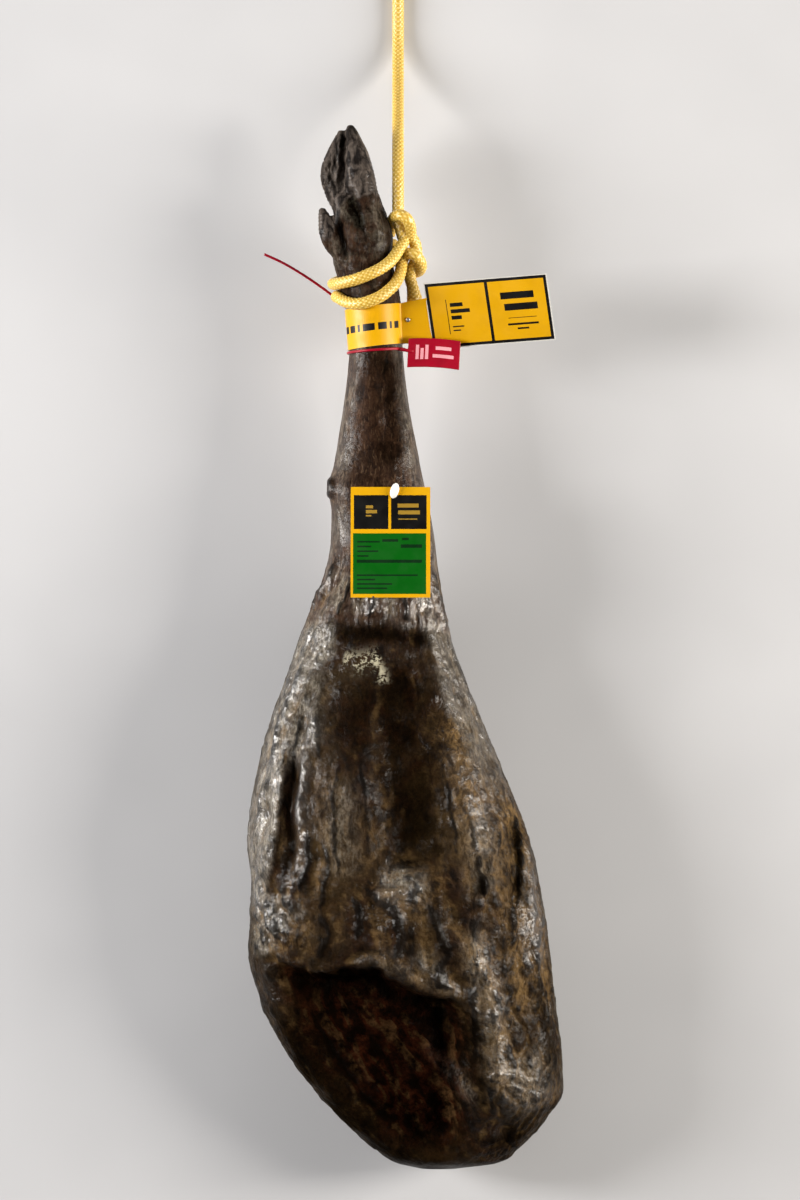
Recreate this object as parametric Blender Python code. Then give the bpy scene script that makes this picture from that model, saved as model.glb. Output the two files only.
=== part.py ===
"""A whole cured ham with its hoof, lying on a table with the shown side up.

Sizes are given in millimetres and turned into metres by MM. Two measures place everything:
x runs to the right from the plumb line of the rope, and s runs from the butt end to the hoof.
"""

import math

import bmesh
import bpy
import numpy as np

MM = 0.001

# Driving sizes
LENGTH = 800  # butt end to hoof tip
PLUMB_X = -3.8  # the plumb line lies this far left of the middle of the width
GAP = 0.35  # between pieces that touch
CARD = 0.6  # thickness of the printed cards
ROPE_RADIUS = 4.5
STRAP_RADIUS = 1.0  # strap of the plastic seal

# The ham's outline: (s, value) through which a smooth curve runs
LEFT = [
    (0, 14), (4, -2), (15, -19), (38, -45), (61, -66), (96, -91), (130, -107), (164, -115.6),
    (199, -114.6), (222, -114), (250, -117), (291, -112), (337, -101), (383, -85), (417, -73),
    (452, -59), (480, -53), (504, -52.5), (521, -54.5), (540, -50.5), (567, -46), (601, -41),
    (630, -38.6), (657, -41), (678, -46.4), (700, -51), (720, -50), (742, -48), (752, -43),
]
RIGHT = [
    (0, 46), (4, 74), (15, 91), (38, 112), (61, 124.5), (84, 124.2), (130, 118.8), (176, 114),
    (222, 106.4), (256, 98), (314, 75), (360, 56), (395, 42.5), (440, 32), (498, 24), (544, 14.5),
    (601, 4.6), (630, 2), (660, 1), (682, -3), (700, -7), (711, -5.5), (722, -7.5), (742, -15.5),
    (752, -22),
]
TOP = [
    (0, 60), (5, 72), (15, 84), (40, 100), (80, 115), (130, 130), (180, 140), (240, 142),
    (300, 137), (360, 125), (420, 111), (480, 102.5), (540, 98), (600, 96.5), (660, 96),
    (720, 94), (742, 90), (752, 84),
]
BOTTOM = [
    (0, 38), (5, 27), (15, 15), (40, 3), (80, -4), (240, -4), (330, -4), (390, 4), (440, 20),
    (500, 37), (560, 44), (600, 47.5), (660, 48), (720, 50), (742, 54), (752, 61),
]
WIDEST = [(0, 49), (40, 52), (130, 60), (300, 62), (420, 67), (520, 71), (600, 72), (752, 72)]
ROUNDNESS = [(0, 2.15), (60, 2.25), (300, 2.2), (450, 2.05), (540, 2.0), (752, 2.0)]
RING_SIDES = 46
TOP_SIDES = 30  # of them on the shown side
STATION_STEPS = [(0, 2.4), (8, 4.4), (30, 7.2), (180, 10), (420, 15), (600, 17), (740, 6)]

# The hollow where the hip was cut out, under a lip that runs across the butt
HOLLOW_DEPTH = 31
LIP = [
    (-118, 172), (-99, 168), (-77, 160), (-42, 159), (-19, 161), (-3, 152), (19, 142), (42, 134),
    (60, 124),
]
LIP_DROP = 13
HOLLOW_WALL = [(0, 56), (23, 66), (46, 64), (73, 66), (100, 70), (126, 66), (157, 58), (184, 42)]
WALL_SLOPE = 34
RIM_WIDTH = 6
RIM_SLOPE = 46
END_RIM = 3
END_SLOPE = 34

# Skin is left on the shank down to an arch
SKIN_ARCH = [(-90, 402), (-76, 413), (-47, 420), (-10, 420), (18, 416), (38, 411), (50, 404)]
SKIN_STEP = 2.2
SKIN_SLOPE = 7

# Ridges above zero and grooves below: height, half width, and the path that each follows as (x, s)
STROKES = {
    "trough": (-11, 26, [(-3, 372), (2, 330), (9, 290), (14, 250), (17, 226)]),
    "left_muscle": (4, 26, [(-30, 352), (-38, 300), (-40, 250), (-38, 198)]),
    "right_muscle": (5, 22, [(34, 350), (50, 295), (60, 240), (62, 185)]),
    "skin_edge": (4.5, 7, [(-52, 398), (-69, 379), (-82, 352), (-90, 310), (-94, 270), (-105, 200)]),
    "left_groove": (-8, 5.5, [(-82, 330), (-81, 300), (-85, 278), (-81, 249), (-88, 218)]),
    "left_fold": (5, 6, [(-60, 378), (-64, 345), (-71, 314), (-76, 287), (-74, 260), (-90, 198)]),
    "right_groove": (-6, 6, [(84, 276), (89, 248), (89, 215), (86, 196)]),
    "right_fold": (4, 6, [(92, 262), (98, 232), (101, 192), (103, 150)]),
    "ridge": (8, 10, [(36, 196), (52, 174), (64, 146), (70, 112), (71, 80), (74, 50)]),
    "shank_groove": (-2.5, 7, [(-12, 622), (-11, 585), (-8, 545)]),
    "lip_tongue": (5, 9, [(-24, 190), (-12, 168), (8, 156), (24, 148)]),
    "hollow_rib": (5, 9, [(-55, 118), (-38, 82), (-12, 46)]),
    "hollow_streak": (4, 7, [(24, 118), (28, 88), (46, 68), (64, 52)]),
}
# Round bulges and pits: height, radius, and centre as (x, s)
BUMPS = {
    "knob": (9, 27, (94, 72)),
    "knob_pit": (-6, 8, (81, 32)),
    "left_pit": (-5, 9, (-103, 272)),
    "dark_hollow": (-6, 17, (10, 252)),
    "hock": (3, 14, (-40, 516)),
}

# The two claws and the two dewclaws: (x, s, z, half width, half height) from root to tip
CLAW_NEAR = [
    (-28, 726, 76, 10, 11), (-27.5, 742, 77, 11.6, 14), (-30.6, 757, 77, 11.6, 14),
    (-32, 770, 76, 10.2, 12.5), (-33.8, 779, 75, 8.6, 10.5), (-35.6, 787, 74, 6.6, 8),
    (-37.4, 795, 73, 4.2, 5.5), (-38.2, 800, 72.4, 1.8, 2.6),
]
CLAW_FAR = [
    (-40, 724, 63, 9, 9), (-43.5, 738, 62, 8.8, 11), (-48.4, 748, 62, 9.2, 12),
    (-51.6, 759, 62, 9.6, 12.6), (-51.2, 768, 62, 9.2, 12), (-48.6, 779, 63, 7.6, 10),
    (-46.2, 789, 65, 4.6, 6.6), (-44.8, 795.4, 67, 2, 3),
]
DEWCLAW_NEAR = [
    (-44, 698, 80, 6, 6), (-50.5, 707, 82, 7, 6.6), (-54, 716, 83, 7.2, 6.4),
    (-56, 725, 83, 6, 5.2), (-58.4, 732, 82.5, 3.6, 3.4), (-59.8, 736, 82, 1.4, 1.5),
]
DEWCLAW_FAR = [
    (-42, 700, 63, 6, 6), (-47, 708, 61, 6.4, 6), (-50, 717, 60, 6, 5.6), (-52, 725, 60, 4.4, 4.2),
    (-53, 731, 60, 1.6, 1.6),
]
HORN_SIDES = 14

# Rope turns round the ankle: (angle in degrees from +x over the shown side, s, lift off the leg)
TURN_UPPER = [
    (4, 712.2, 4.6), (20, 704, 3), (38, 695, 1), (60, 689, 0), (84, 684, 0), (112, 679.5, 0),
    (145, 677.6, 0), (180, 678, 0), (215, 681, 0), (250, 688, 0), (285, 696, 0), (315, 705, 0.6),
    (330, 710, 1.2),
]
TURN_LOWER = [
    (-1, 700.5, 5), (8, 693, 3), (22, 685, 1), (42, 677, 0.4), (64, 670, 0), (82, 665.5, 0),
    (105, 662, 0), (124, 661.6, 0), (145, 664, 0), (162, 667, 0), (180, 668.4, 0), (215, 671, 0),
    (250, 677.5, 0), (285, 686, 0), (310, 693, 0.6), (326, 697.5, 2),
]
TURN_SPACING = 4.6

# Knot at the right of the leg: centre (x, s, z) and half sizes of each lobe
KNOT_LOBES = [
    ((2.6, 723.5, 76), (9.2, 8.2, 10)),
    ((10.6, 718, 71), (5.6, 6.0, 8)),
    ((12.8, 708.5, 66), (6.6, 8.6, 7.6)),
    ((12.8, 694.5, 65), (6.6, 8.8, 7.6)),
]
ROPE_TAIL = [(12.5, 690, 65), (11.5, 681, 65.5), (10.5, 672, 66)]
TAIL_FLATNESS = 1.35

# The rope from the knot down to the table and along it: (x, s, z)
ROPE_LINE = [
    (-1.5, 732.2, 76), (-1.5, 743, 76.2), (-1.5, 755, 75.2), (-1.5, 767, 72.2), (-1.5, 779, 66.8),
    (-1.5, 791, 59), (-1.5, 803, 49.4), (-1.5, 815, 38.8), (-1.5, 827, 28.2), (-1.5, 839, 19),
    (-1.5, 851, 12), (-1.5, 863, 7.4), (-1.5, 875, 5.1), (-1.5, 887, 4.7), (-1.5, 900, 4.7),
    (-1.5, 913.4, 4.7),
]
LINE_SPACING = 5.0
# The eye that the rope was hung by, beyond the line's end
EYE_KNOT = ((-1.5, 923, 8.6), (9.6, 8.8, 8.4))
EYE = [
    (-6.8, 925, 6), (-9.5, 935, 4.8), (-15, 948, 4.7), (-18, 963, 4.7), (-13.5, 978, 4.7),
    (-1.5, 985, 4.7), (10.5, 978, 4.7), (15, 963, 4.7), (12, 948, 4.7), (6.5, 935, 4.8),
    (3.8, 925, 6),
]

# Card band: its middle line goes round the ankle, and its free end is the tag
BAND_LOWER = 629.7
BAND_UPPER = 660.4
BAND_TILT = math.tan(math.radians(6.5))
BAND_CLEAR = 0.5
BAND_START = 24  # degrees, where the neck leaves the leg
BAND_END = 342
BAND_STEPS = 30
NECK_STEPS = 6
TAG_CORNER = (17.8, 677.3, 89)  # its upper left corner
TAG_ACROSS = (92.8, 6.1, 24)
TAG_DOWN = (7.5, -49.4, -13.5)
NECK_FROM, NECK_TO = 0.22, 0.92  # the part of the tag's left edge where the neck joins
FLANGE_DROP = 1.4  # the seam's under layer lies this far under the neck
RIVET_SHARE = 0.74  # of the way from the tag to the leg
RIVET_S = 650
RIVET = [(0.6, 1.8), (1.15, 1.8), (1.55, 1.1)]  # height above the neck's face, and radius
ANKLE_HALF = 22.5  # half the ankle's width, over which the band and the strap tilt

# Plastic seal: strap round the ankle below the band, a tail and a flag
STRAP_S = 626.6
STRAP_TILT = math.tan(math.radians(4))
STRAP_SIDES = 28
SEAL_TAIL = [
    (-40.5, 660.5, 50.5), (-47, 666.5, 50), (-58, 675, 52), (-72, 684.5, 55.5), (-88, 694, 59),
    (-104, 701.4, 62),
]
TAIL_ANGLE = 225  # degrees, where the tail leaves the strap behind the leg
TAIL_BEHIND = (627, 636, 645, 653)  # where the tail passes under the band
FLAG_CENTRE = (25.8, 624.6, 88)
FLAG_SIZE = (39.7, 22, 1.6)
FLAG_TURN = -3
ARM_ANGLE = 38  # degrees, where the flag's arm leaves the strap
ARM_BOW = 1.2
ARM_THICKER = 1.3

# Card label pinned on the shank
LABEL_X = (-37.4, 23.0)
LABEL_S = (438.3, 522.2)
LABEL_LIFT = 1.4
LABEL_SPOTS = (-15, -10, -5, 0)  # x where the shank stands highest under the label
PIN = (-4.1, 519.3)
PIN_HALF = (3.2, 6.0, 1.3)
PIN_LEAN = -15


def clear_scene():
    for obj in list(bpy.data.objects):
        bpy.data.objects.remove(obj, do_unlink=True)


def material(name, colour, roughness, metallic=0.0):
    made = bpy.data.materials.new(name)
    made.use_nodes = True
    shader = made.node_tree.nodes["Principled BSDF"]
    shader.inputs["Base Color"].default_value = (*colour, 1.0)
    shader.inputs["Roughness"].default_value = roughness
    shader.inputs["Metallic"].default_value = metallic
    made.diffuse_color = (*colour, 1.0)
    return made


def profile(points, where):
    """Value at `where` of a smooth curve through the points that never overshoots them."""
    xs, ys = np.array(points, float).T
    widths = np.diff(xs)
    slopes = np.diff(ys) / widths
    tangents = np.zeros_like(ys)
    same_way = slopes[1:] * slopes[:-1] > 0
    near, far = 2 * widths[1:] + widths[:-1], widths[1:] + 2 * widths[:-1]
    with np.errstate(divide="ignore", invalid="ignore"):
        mean = (near + far) / (near / slopes[:-1] + far / slopes[1:])
    tangents[1:-1] = np.where(same_way, mean, 0)
    tangents[0], tangents[-1] = slopes[0], slopes[-1]
    where = np.clip(np.asarray(where, float), xs[0], xs[-1])
    i = np.clip(np.searchsorted(xs, where, side="right") - 1, 0, len(widths) - 1)
    t = (where - xs[i]) / widths[i]
    rise = (1 + 2 * t) * (1 - t) ** 2 * ys[i] + t**2 * (3 - 2 * t) * ys[i + 1]
    bend = t * (1 - t) ** 2 * tangents[i] - t**2 * (1 - t) * tangents[i + 1]
    return rise + bend * widths[i]


def fade(t):
    """0 below 0, 1 above 1, and smooth between."""
    t = np.clip(t, 0, 1)
    return t * t * (3 - 2 * t)


def world(points):
    """World positions in metres of (x, s, z) in millimetres."""
    moved = np.array(points, float) + (PLUMB_X, -LENGTH / 2, 0)
    return moved * MM


def mesh_object(name, points, faces, paint, smooth=True):
    mesh = bpy.data.meshes.new(name)
    mesh.from_pydata([tuple(p) for p in world(points)], [], faces)
    shell = bmesh.new()
    shell.from_mesh(mesh)
    bmesh.ops.recalc_face_normals(shell, faces=shell.faces)
    if shell.calc_volume(signed=True) < 0:
        bmesh.ops.reverse_faces(shell, faces=shell.faces)
    shell.to_mesh(mesh)
    shell.free()
    if smooth:
        mesh.shade_smooth()
    mesh.materials.append(paint)
    obj = bpy.data.objects.new(name, mesh)
    bpy.context.scene.collection.objects.link(obj)
    return obj


def loft(rings):
    """Points and faces of a closed body through equal rings, with a point at the middle of each end."""
    rings = np.array(rings, float)
    count, sides = rings.shape[:2]
    points = np.concatenate([rings.reshape(-1, 3), [rings[0].mean(axis=0)], [rings[-1].mean(axis=0)]])
    faces = []
    for i in range(count - 1):
        for j in range(sides):
            k = (j + 1) % sides
            a, b, c, d = i * sides + j, i * sides + k, (i + 1) * sides + k, (i + 1) * sides + j
            faces.append((a, b, c, d))
    first, last = count * sides, count * sides + 1
    for j in range(sides):
        k = (j + 1) % sides
        faces.append((first, k, j))
        faces.append((last, (count - 1) * sides + j, (count - 1) * sides + k))
    return points, faces


def joined(name, parts, paint):
    """One object that is the union of the parts, which are removed."""
    group = bpy.data.collections.new(name + "_parts")
    bpy.context.scene.collection.children.link(group)
    base = parts[0]
    for part in parts[1:]:
        for home in list(part.users_collection):
            home.objects.unlink(part)
        group.objects.link(part)
    union = base.modifiers.new("union", "BOOLEAN")
    union.operation = "UNION"
    union.operand_type = "COLLECTION"
    union.collection = group
    union.solver = "EXACT"
    bpy.context.view_layer.update()
    graph = bpy.context.evaluated_depsgraph_get()
    mesh = bpy.data.meshes.new_from_object(base.evaluated_get(graph))
    mesh.name = name
    for part in parts:
        bpy.data.objects.remove(part, do_unlink=True)
    bpy.data.collections.remove(group)
    mesh.materials.clear()
    mesh.materials.append(paint)
    mesh.shade_smooth()
    obj = bpy.data.objects.new(name, mesh)
    bpy.context.scene.collection.objects.link(obj)
    return obj


def smooth_route(points, spacing):
    """Evenly spaced points on a smooth curve through the given ones."""
    knots = np.array(points, float)
    padded = np.concatenate([[2 * knots[0] - knots[1]], knots, [2 * knots[-1] - knots[-2]]])
    t = np.linspace(0, 1, 16, endpoint=False)[:, None]
    runs = []
    for a, b, c, d in zip(padded, padded[1:], padded[2:], padded[3:]):
        runs.append(b + 0.5 * t * (c - a + t * (2 * a - 5 * b + 4 * c - d + t * (3 * (b - c) + d - a))))
    dense = np.concatenate([*runs, knots[-1:]])
    reach = np.concatenate([[0], np.cumsum(np.linalg.norm(np.diff(dense, axis=0), axis=1))])
    count = max(2, round(reach[-1] / spacing) + 1)
    even = np.linspace(0, reach[-1], count)
    return np.stack([np.interp(even, reach, axis) for axis in dense.T], axis=1)


def tube(name, route, radius, paint, cyclic=False):
    """A round cord along the route's points, with filled ends."""
    curve = bpy.data.curves.new(name, "CURVE")
    curve.dimensions = "3D"
    curve.bevel_depth = radius * MM
    curve.bevel_resolution = 2
    curve.use_fill_caps = True
    spline = curve.splines.new("POLY")
    spline.points.add(len(route) - 1)
    for point, place in zip(spline.points, world(route)):
        point.co = (*place, 1.0)
    spline.use_cyclic_u = cyclic
    spline.use_smooth = True
    curve.materials.append(paint)
    obj = bpy.data.objects.new(name, curve)
    bpy.context.scene.collection.objects.link(obj)
    return obj


def as_mesh(obj):
    """The same object with its curve turned into a mesh."""
    bpy.context.view_layer.update()
    mesh = bpy.data.meshes.new_from_object(obj.evaluated_get(bpy.context.evaluated_depsgraph_get()))
    name = obj.name
    bpy.data.objects.remove(obj, do_unlink=True)
    shell = bmesh.new()
    shell.from_mesh(mesh)
    bmesh.ops.remove_doubles(shell, verts=shell.verts, dist=1e-6)
    bmesh.ops.recalc_face_normals(shell, faces=shell.faces)
    shell.to_mesh(mesh)
    shell.free()
    made = bpy.data.objects.new(name, mesh)
    bpy.context.scene.collection.objects.link(made)
    return made


def lump(name, centre, half, paint, turn=0.0, segments=16, rings=10):
    """An ellipsoid turned by `turn` degrees about the vertical."""
    angle = math.radians(turn)
    points, faces = [], []
    for i in range(1, rings):
        polar = math.pi * i / rings
        for j in range(segments):
            around = 2 * math.pi * j / segments
            x = half[0] * math.sin(polar) * math.cos(around)
            s = half[1] * math.sin(polar) * math.sin(around)
            flat = (x * math.cos(angle) - s * math.sin(angle), x * math.sin(angle) + s * math.cos(angle))
            points.append((centre[0] + flat[0], centre[1] + flat[1], centre[2] + half[2] * math.cos(polar)))
    for i in range(rings - 2):
        for j in range(segments):
            k = (j + 1) % segments
            faces.append((i * segments + j, i * segments + k, (i + 1) * segments + k, (i + 1) * segments + j))
    points += [(centre[0], centre[1], centre[2] + half[2]), (centre[0], centre[1], centre[2] - half[2])]
    top, bottom = len(points) - 2, len(points) - 1
    last = (rings - 2) * segments
    for j in range(segments):
        k = (j + 1) % segments
        faces.append((top, j, k))
        faces.append((bottom, last + k, last + j))
    return mesh_object(name, points, faces, paint)


def plate(name, corners, thickness, paint):
    """A flat card whose upper face has these four corners."""
    upper = np.array(corners, float)
    normal = np.cross(upper[1] - upper[0], upper[3] - upper[0])
    normal /= np.linalg.norm(normal)
    lower = upper - normal * thickness
    sides = [(i, (i + 1) % 4, (i + 1) % 4 + 4, i + 4) for i in range(4)]
    return mesh_object(name, [*upper, *lower], [(3, 2, 1, 0), (4, 5, 6, 7), *sides], paint, smooth=False)


def path_distance(path, x, s):
    """How far each point lies from a path, and how far along the path its nearest point is, 0 to 1."""
    path = np.array(path, float)
    lengths = np.linalg.norm(np.diff(path, axis=0), axis=1)
    starts = np.concatenate([[0], np.cumsum(lengths)])
    best = np.full(x.shape, np.inf)
    along = np.zeros(x.shape)
    for a, b, length, start in zip(path, path[1:], lengths, starts):
        t = np.clip(((x - a[0]) * (b[0] - a[0]) + (s - a[1]) * (b[1] - a[1])) / length**2, 0, 1)
        far = np.hypot(x - a[0] - t * (b[0] - a[0]), s - a[1] - t * (b[1] - a[1]))
        nearer = far < best
        best = np.where(nearer, far, best)
        along = np.where(nearer, (start + t * length) / starts[-1], along)
    return best, along


def relief(x, s):
    """Height of the shown side above its smooth form."""
    total = np.zeros(np.shape(x))
    for height, width, path in STROKES.values():
        far, along = path_distance(path, x, s)
        total += height * np.exp(-((far / width) ** 2)) * fade(along / 0.2) * fade((1 - along) / 0.2)
    for height, radius, (at_x, at_s) in BUMPS.values():
        total += height * np.exp(-(((x - at_x) ** 2 + (s - at_s) ** 2) / radius**2))
    under_lip = fade((profile(LIP, x) - s) / LIP_DROP)
    inside_wall = fade((profile(HOLLOW_WALL, s) - x) / WALL_SLOPE)
    inside_rim = fade((x - profile(LEFT, s) - RIM_WIDTH) / RIM_SLOPE)
    off_end = fade((s - END_RIM) / END_SLOPE)
    total -= HOLLOW_DEPTH * under_lip * inside_wall * inside_rim * off_end
    total += SKIN_STEP * fade((s - profile(SKIN_ARCH, x)) / SKIN_SLOPE) * fade((560 - s) / 120)
    return total


def stations():
    """Where the rings stand, closer together where the form turns fast."""
    found = [0.0]
    end = LEFT[-1][0]
    while found[-1] < end - 2:
        here = found[-1]
        found.append(here + float(profile(STATION_STEPS, here)))
    found[-1] = end
    return found


def section(s, angles):
    """Ring of points round the ham at s, with the relief on its shown side."""
    left, right = profile(LEFT, s), profile(RIGHT, s)
    top, bottom, level = profile(TOP, s), profile(BOTTOM, s), profile(WIDEST, s)
    power = 2 / profile(ROUNDNESS, s)
    across, up = np.cos(angles), np.sin(angles)
    half = (right - left) / 2
    height = np.where(up > 0, top - level, level - bottom)
    x = (left + right) / 2 + half * np.sign(across) * np.abs(across) ** power
    z = level + height * np.sign(up) * np.abs(up) ** power
    rise = relief(x, np.full_like(x, s)) * fade((up - 0.05) / 0.4)
    lean = np.stack([across / half, up / height])
    lean /= np.linalg.norm(lean, axis=0)
    x = x + rise * lean[0] * 0.6
    z = np.maximum(z + rise * np.where(up > 0, np.maximum(lean[1], 0.4), 0), 0)
    return np.stack([x, np.full_like(x, s), z], axis=1)


def ring_angles():
    over = np.linspace(0, math.pi, TOP_SIDES, endpoint=False)
    under = np.linspace(math.pi, 2 * math.pi, RING_SIDES - TOP_SIDES, endpoint=False)
    return np.concatenate([over, under])


def leg_point(angle, s, lift):
    """A point `lift` off the leg's surface, at an angle in degrees from +x over the shown side."""
    left, right = float(profile(LEFT, s)), float(profile(RIGHT, s))
    top, bottom, level = float(profile(TOP, s)), float(profile(BOTTOM, s)), float(profile(WIDEST, s))
    turn = math.radians(angle)
    height = top - level if math.sin(turn) > 0 else level - bottom
    half = (right - left) / 2
    x, z = half * math.cos(turn), height * math.sin(turn)
    normal = np.array([math.cos(turn) / half, math.sin(turn) / height])
    normal /= np.linalg.norm(normal)
    return np.array([(left + right) / 2 + x + normal[0] * lift, s, level + z + normal[1] * lift])


def top_height(x, s):
    """Height of the shown side at (x, s)."""
    ring = section(s, np.linspace(0.02, math.pi - 0.02, 200))
    order = np.argsort(ring[:, 0])
    return float(np.interp(x, ring[order, 0], ring[order, 2]))


def horn(name, path, paint):
    angles = np.linspace(0, 2 * math.pi, HORN_SIDES, endpoint=False)
    rings = []
    for x, s, z, wide, high in path:
        rings.append([(x + wide * math.cos(a), s, z + high * math.sin(a)) for a in angles])
    return mesh_object(name, *loft(rings), paint)


def make_ham():
    paint = material("cured_meat", (0.085, 0.046, 0.026), 0.42)
    angles = ring_angles()
    body = mesh_object("body", *loft([section(s, angles) for s in stations()]), paint)
    horns = {
        "claw_near": CLAW_NEAR,
        "claw_far": CLAW_FAR,
        "dewclaw_near": DEWCLAW_NEAR,
        "dewclaw_far": DEWCLAW_FAR,
    }
    pieces = [horn(name, path, paint) for name, path in horns.items()]
    return joined("ham", [body, *pieces], paint)


def turn_route(turns):
    lift = ROPE_RADIUS + 2 * GAP
    return smooth_route([leg_point(angle, s, lift + more) for angle, s, more in turns], TURN_SPACING)


def make_rope():
    paint = material("rope", (0.72, 0.53, 0.16), 0.4)
    tube("rope_turn_upper", turn_route(TURN_UPPER), ROPE_RADIUS, paint)
    tube("rope_turn_lower", turn_route(TURN_LOWER), ROPE_RADIUS, paint)
    lobes = [lump(f"lobe_{i}", centre, half, paint) for i, (centre, half) in enumerate(KNOT_LOBES)]
    tail = as_mesh(tube("tail", smooth_route(ROPE_TAIL, 4), ROPE_RADIUS * TAIL_FLATNESS, paint))
    joined("rope_knot", [*lobes, tail], paint)
    tube("rope_line", smooth_route(ROPE_LINE, LINE_SPACING), ROPE_RADIUS, paint)
    eye = as_mesh(tube("eye", smooth_route(EYE, LINE_SPACING), ROPE_RADIUS, paint))
    joined("rope_eye", [lump("eye_knot", *EYE_KNOT, paint), eye], paint)


def band_rows():
    """The band's stations from the tag's free end round the leg: (upper edge, lower edge) of the outer face."""
    corner, across, down = (np.array(v, float) for v in (TAG_CORNER, TAG_ACROSS, TAG_DOWN))
    tag = [(corner + t * across, corner + t * across + down) for t in np.linspace(1, 0, 5)]
    ring = []
    for angle in np.linspace(BAND_START, BAND_END, BAND_STEPS):
        shift = BAND_TILT * ANKLE_HALF * math.cos(math.radians(angle))
        lift = BAND_CLEAR + CARD
        ring.append((leg_point(angle, BAND_UPPER + shift, lift), leg_point(angle, BAND_LOWER + shift, lift)))
    root = [corner + share * down - across * 0.01 for share in (NECK_FROM, NECK_TO)]
    neck = [neck_row(root, ring[0], t) for t in np.linspace(0, 1, NECK_STEPS, endpoint=False)]
    return tag, neck, ring


def neck_row(root, leave, t):
    """Upper and lower edge of the neck, a share t of the way from the tag to where the band leaves the leg."""
    return tuple(far + t * (near - far) for far, near in zip(root, leave))


def make_band():
    paint = material("printed_card", (0.76, 0.45, 0.02), 0.45)
    tag, neck, ring = band_rows()
    under = np.array([0, 0, FLANGE_DROP + CARD])
    flange = []
    for t in (0.8, 0.6, 0.4):
        upper, lower = neck_row(neck[0], ring[0], t)
        flange.append((upper - under, lower - under))
    rows = np.array([*tag, *neck, *ring, *flange], float)
    tangents = np.gradient(rows.mean(axis=1), axis=0)
    normals = np.cross(tangents, rows[:, 0] - rows[:, 1])
    normals /= np.linalg.norm(normals, axis=1)[:, None]
    inner = rows + normals[:, None] * CARD
    points, faces = [], []
    for outer_pair, inner_pair in zip(rows, inner):
        points += [outer_pair[0], outer_pair[1], inner_pair[1], inner_pair[0]]
    for i in range(len(rows) - 1):
        for j in range(4):
            k = (j + 1) % 4
            faces.append((4 * i + j, 4 * i + k, 4 * i + 4 + k, 4 * i + 4 + j))
    last = 4 * (len(rows) - 1)
    faces += [(0, 1, 2, 3), (last, last + 1, last + 2, last + 3)]
    mesh_object("band", points, faces, paint, smooth=False)


def make_rivet():
    """A stud on the neck's face, with a narrower top."""
    paint = material("steel", (0.55, 0.55, 0.57), 0.35, 1.0)
    tag, neck, ring = band_rows()
    upper, lower = neck_row(neck[0], ring[0], RIVET_SHARE)
    middle = upper + (upper[1] - RIVET_S) / (upper[1] - lower[1]) * (lower - upper)
    normal = np.cross(neck[0][0] - ring[0][0], upper - lower)
    normal /= np.linalg.norm(normal)
    side = np.cross(normal, (0, 1, 0))
    side /= np.linalg.norm(side)
    ahead = np.cross(side, normal)
    turns = np.linspace(0, 2 * math.pi, 16, endpoint=False)
    circle = np.outer(np.cos(turns), side) + np.outer(np.sin(turns), ahead)
    rings = [middle + normal * height + radius * circle for height, radius in RIVET]
    mesh_object("rivet", *loft(rings), paint)


def flag_corners():
    wide, long, thick = (v / 2 for v in FLAG_SIZE)
    turn = math.radians(FLAG_TURN)
    corners = []
    for x, s in ((-wide, -long), (wide, -long), (wide, long), (-wide, long)):
        turned = (x * math.cos(turn) - s * math.sin(turn), x * math.sin(turn) + s * math.cos(turn))
        corners.append((FLAG_CENTRE[0] + turned[0], FLAG_CENTRE[1] + turned[1], FLAG_CENTRE[2] + thick))
    return corners


def make_seal():
    """The strap's loop with its tail, its flag and the arm between them."""
    paint = material("red_plastic", (0.62, 0.02, 0.07), 0.35)
    lift = STRAP_RADIUS + GAP
    loop = []
    for angle in np.linspace(0, 360, STRAP_SIDES, endpoint=False):
        shift = STRAP_TILT * ANKLE_HALF * math.cos(math.radians(angle))
        loop.append(leg_point(angle, STRAP_S + shift, lift))
    strap = as_mesh(tube("strap", loop, STRAP_RADIUS, paint, cyclic=True))
    root = leg_point(TAIL_ANGLE, STRAP_S - 2.6, lift + GAP)
    outside = BAND_CLEAR + CARD + STRAP_RADIUS + 2 * GAP
    behind = [leg_point(TAIL_ANGLE, s, outside) for s in TAIL_BEHIND]
    tail = as_mesh(tube("tail", smooth_route([root, *behind, *SEAL_TAIL], 6), STRAP_RADIUS, paint))
    flag = plate("flag", flag_corners(), FLAG_SIZE[2], paint)
    start = leg_point(ARM_ANGLE, STRAP_S + 1, lift)
    end = np.array(FLAG_CENTRE) + (4 - FLAG_SIZE[0] / 2, 1, 0.1)
    middle = (start + end) / 2 + (0, 0, ARM_BOW)
    arm = as_mesh(tube("arm", smooth_route([start, middle, end], 3), STRAP_RADIUS * ARM_THICKER, paint))
    joined("seal", [flag, arm, strap, tail], paint)


def label_height(s):
    """Height of the label's upper face at s: a straight line that clears the shank."""
    low, high = LABEL_S
    spots = np.linspace(low, high, 12)
    tops = [max(top_height(x, spot) for x in LABEL_SPOTS) for spot in spots]
    slope = (tops[-1] - tops[0]) / (high - low)
    clear = max(top - slope * (spot - low) for top, spot in zip(tops, spots))
    return clear + slope * (s - low) + LABEL_LIFT + CARD


def make_label():
    paint = material("label_card", (0.03, 0.22, 0.04), 0.4)
    corners = []
    for x, s in ((0, 0), (1, 0), (1, 1), (0, 1)):
        corners.append((LABEL_X[x], LABEL_S[s], label_height(LABEL_S[s])))
    plate("label", corners, CARD, paint)
    white = material("white_plastic", (0.86, 0.86, 0.84), 0.3)
    centre = (*PIN, label_height(PIN[1]) + PIN_HALF[2] + GAP + 0.3)
    lump("label_pin", centre, PIN_HALF, white, turn=PIN_LEAN, segments=16, rings=8)


def main():
    clear_scene()
    make_ham()
    make_rope()
    make_band()
    make_rivet()
    make_seal()
    make_label()


main()
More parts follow.
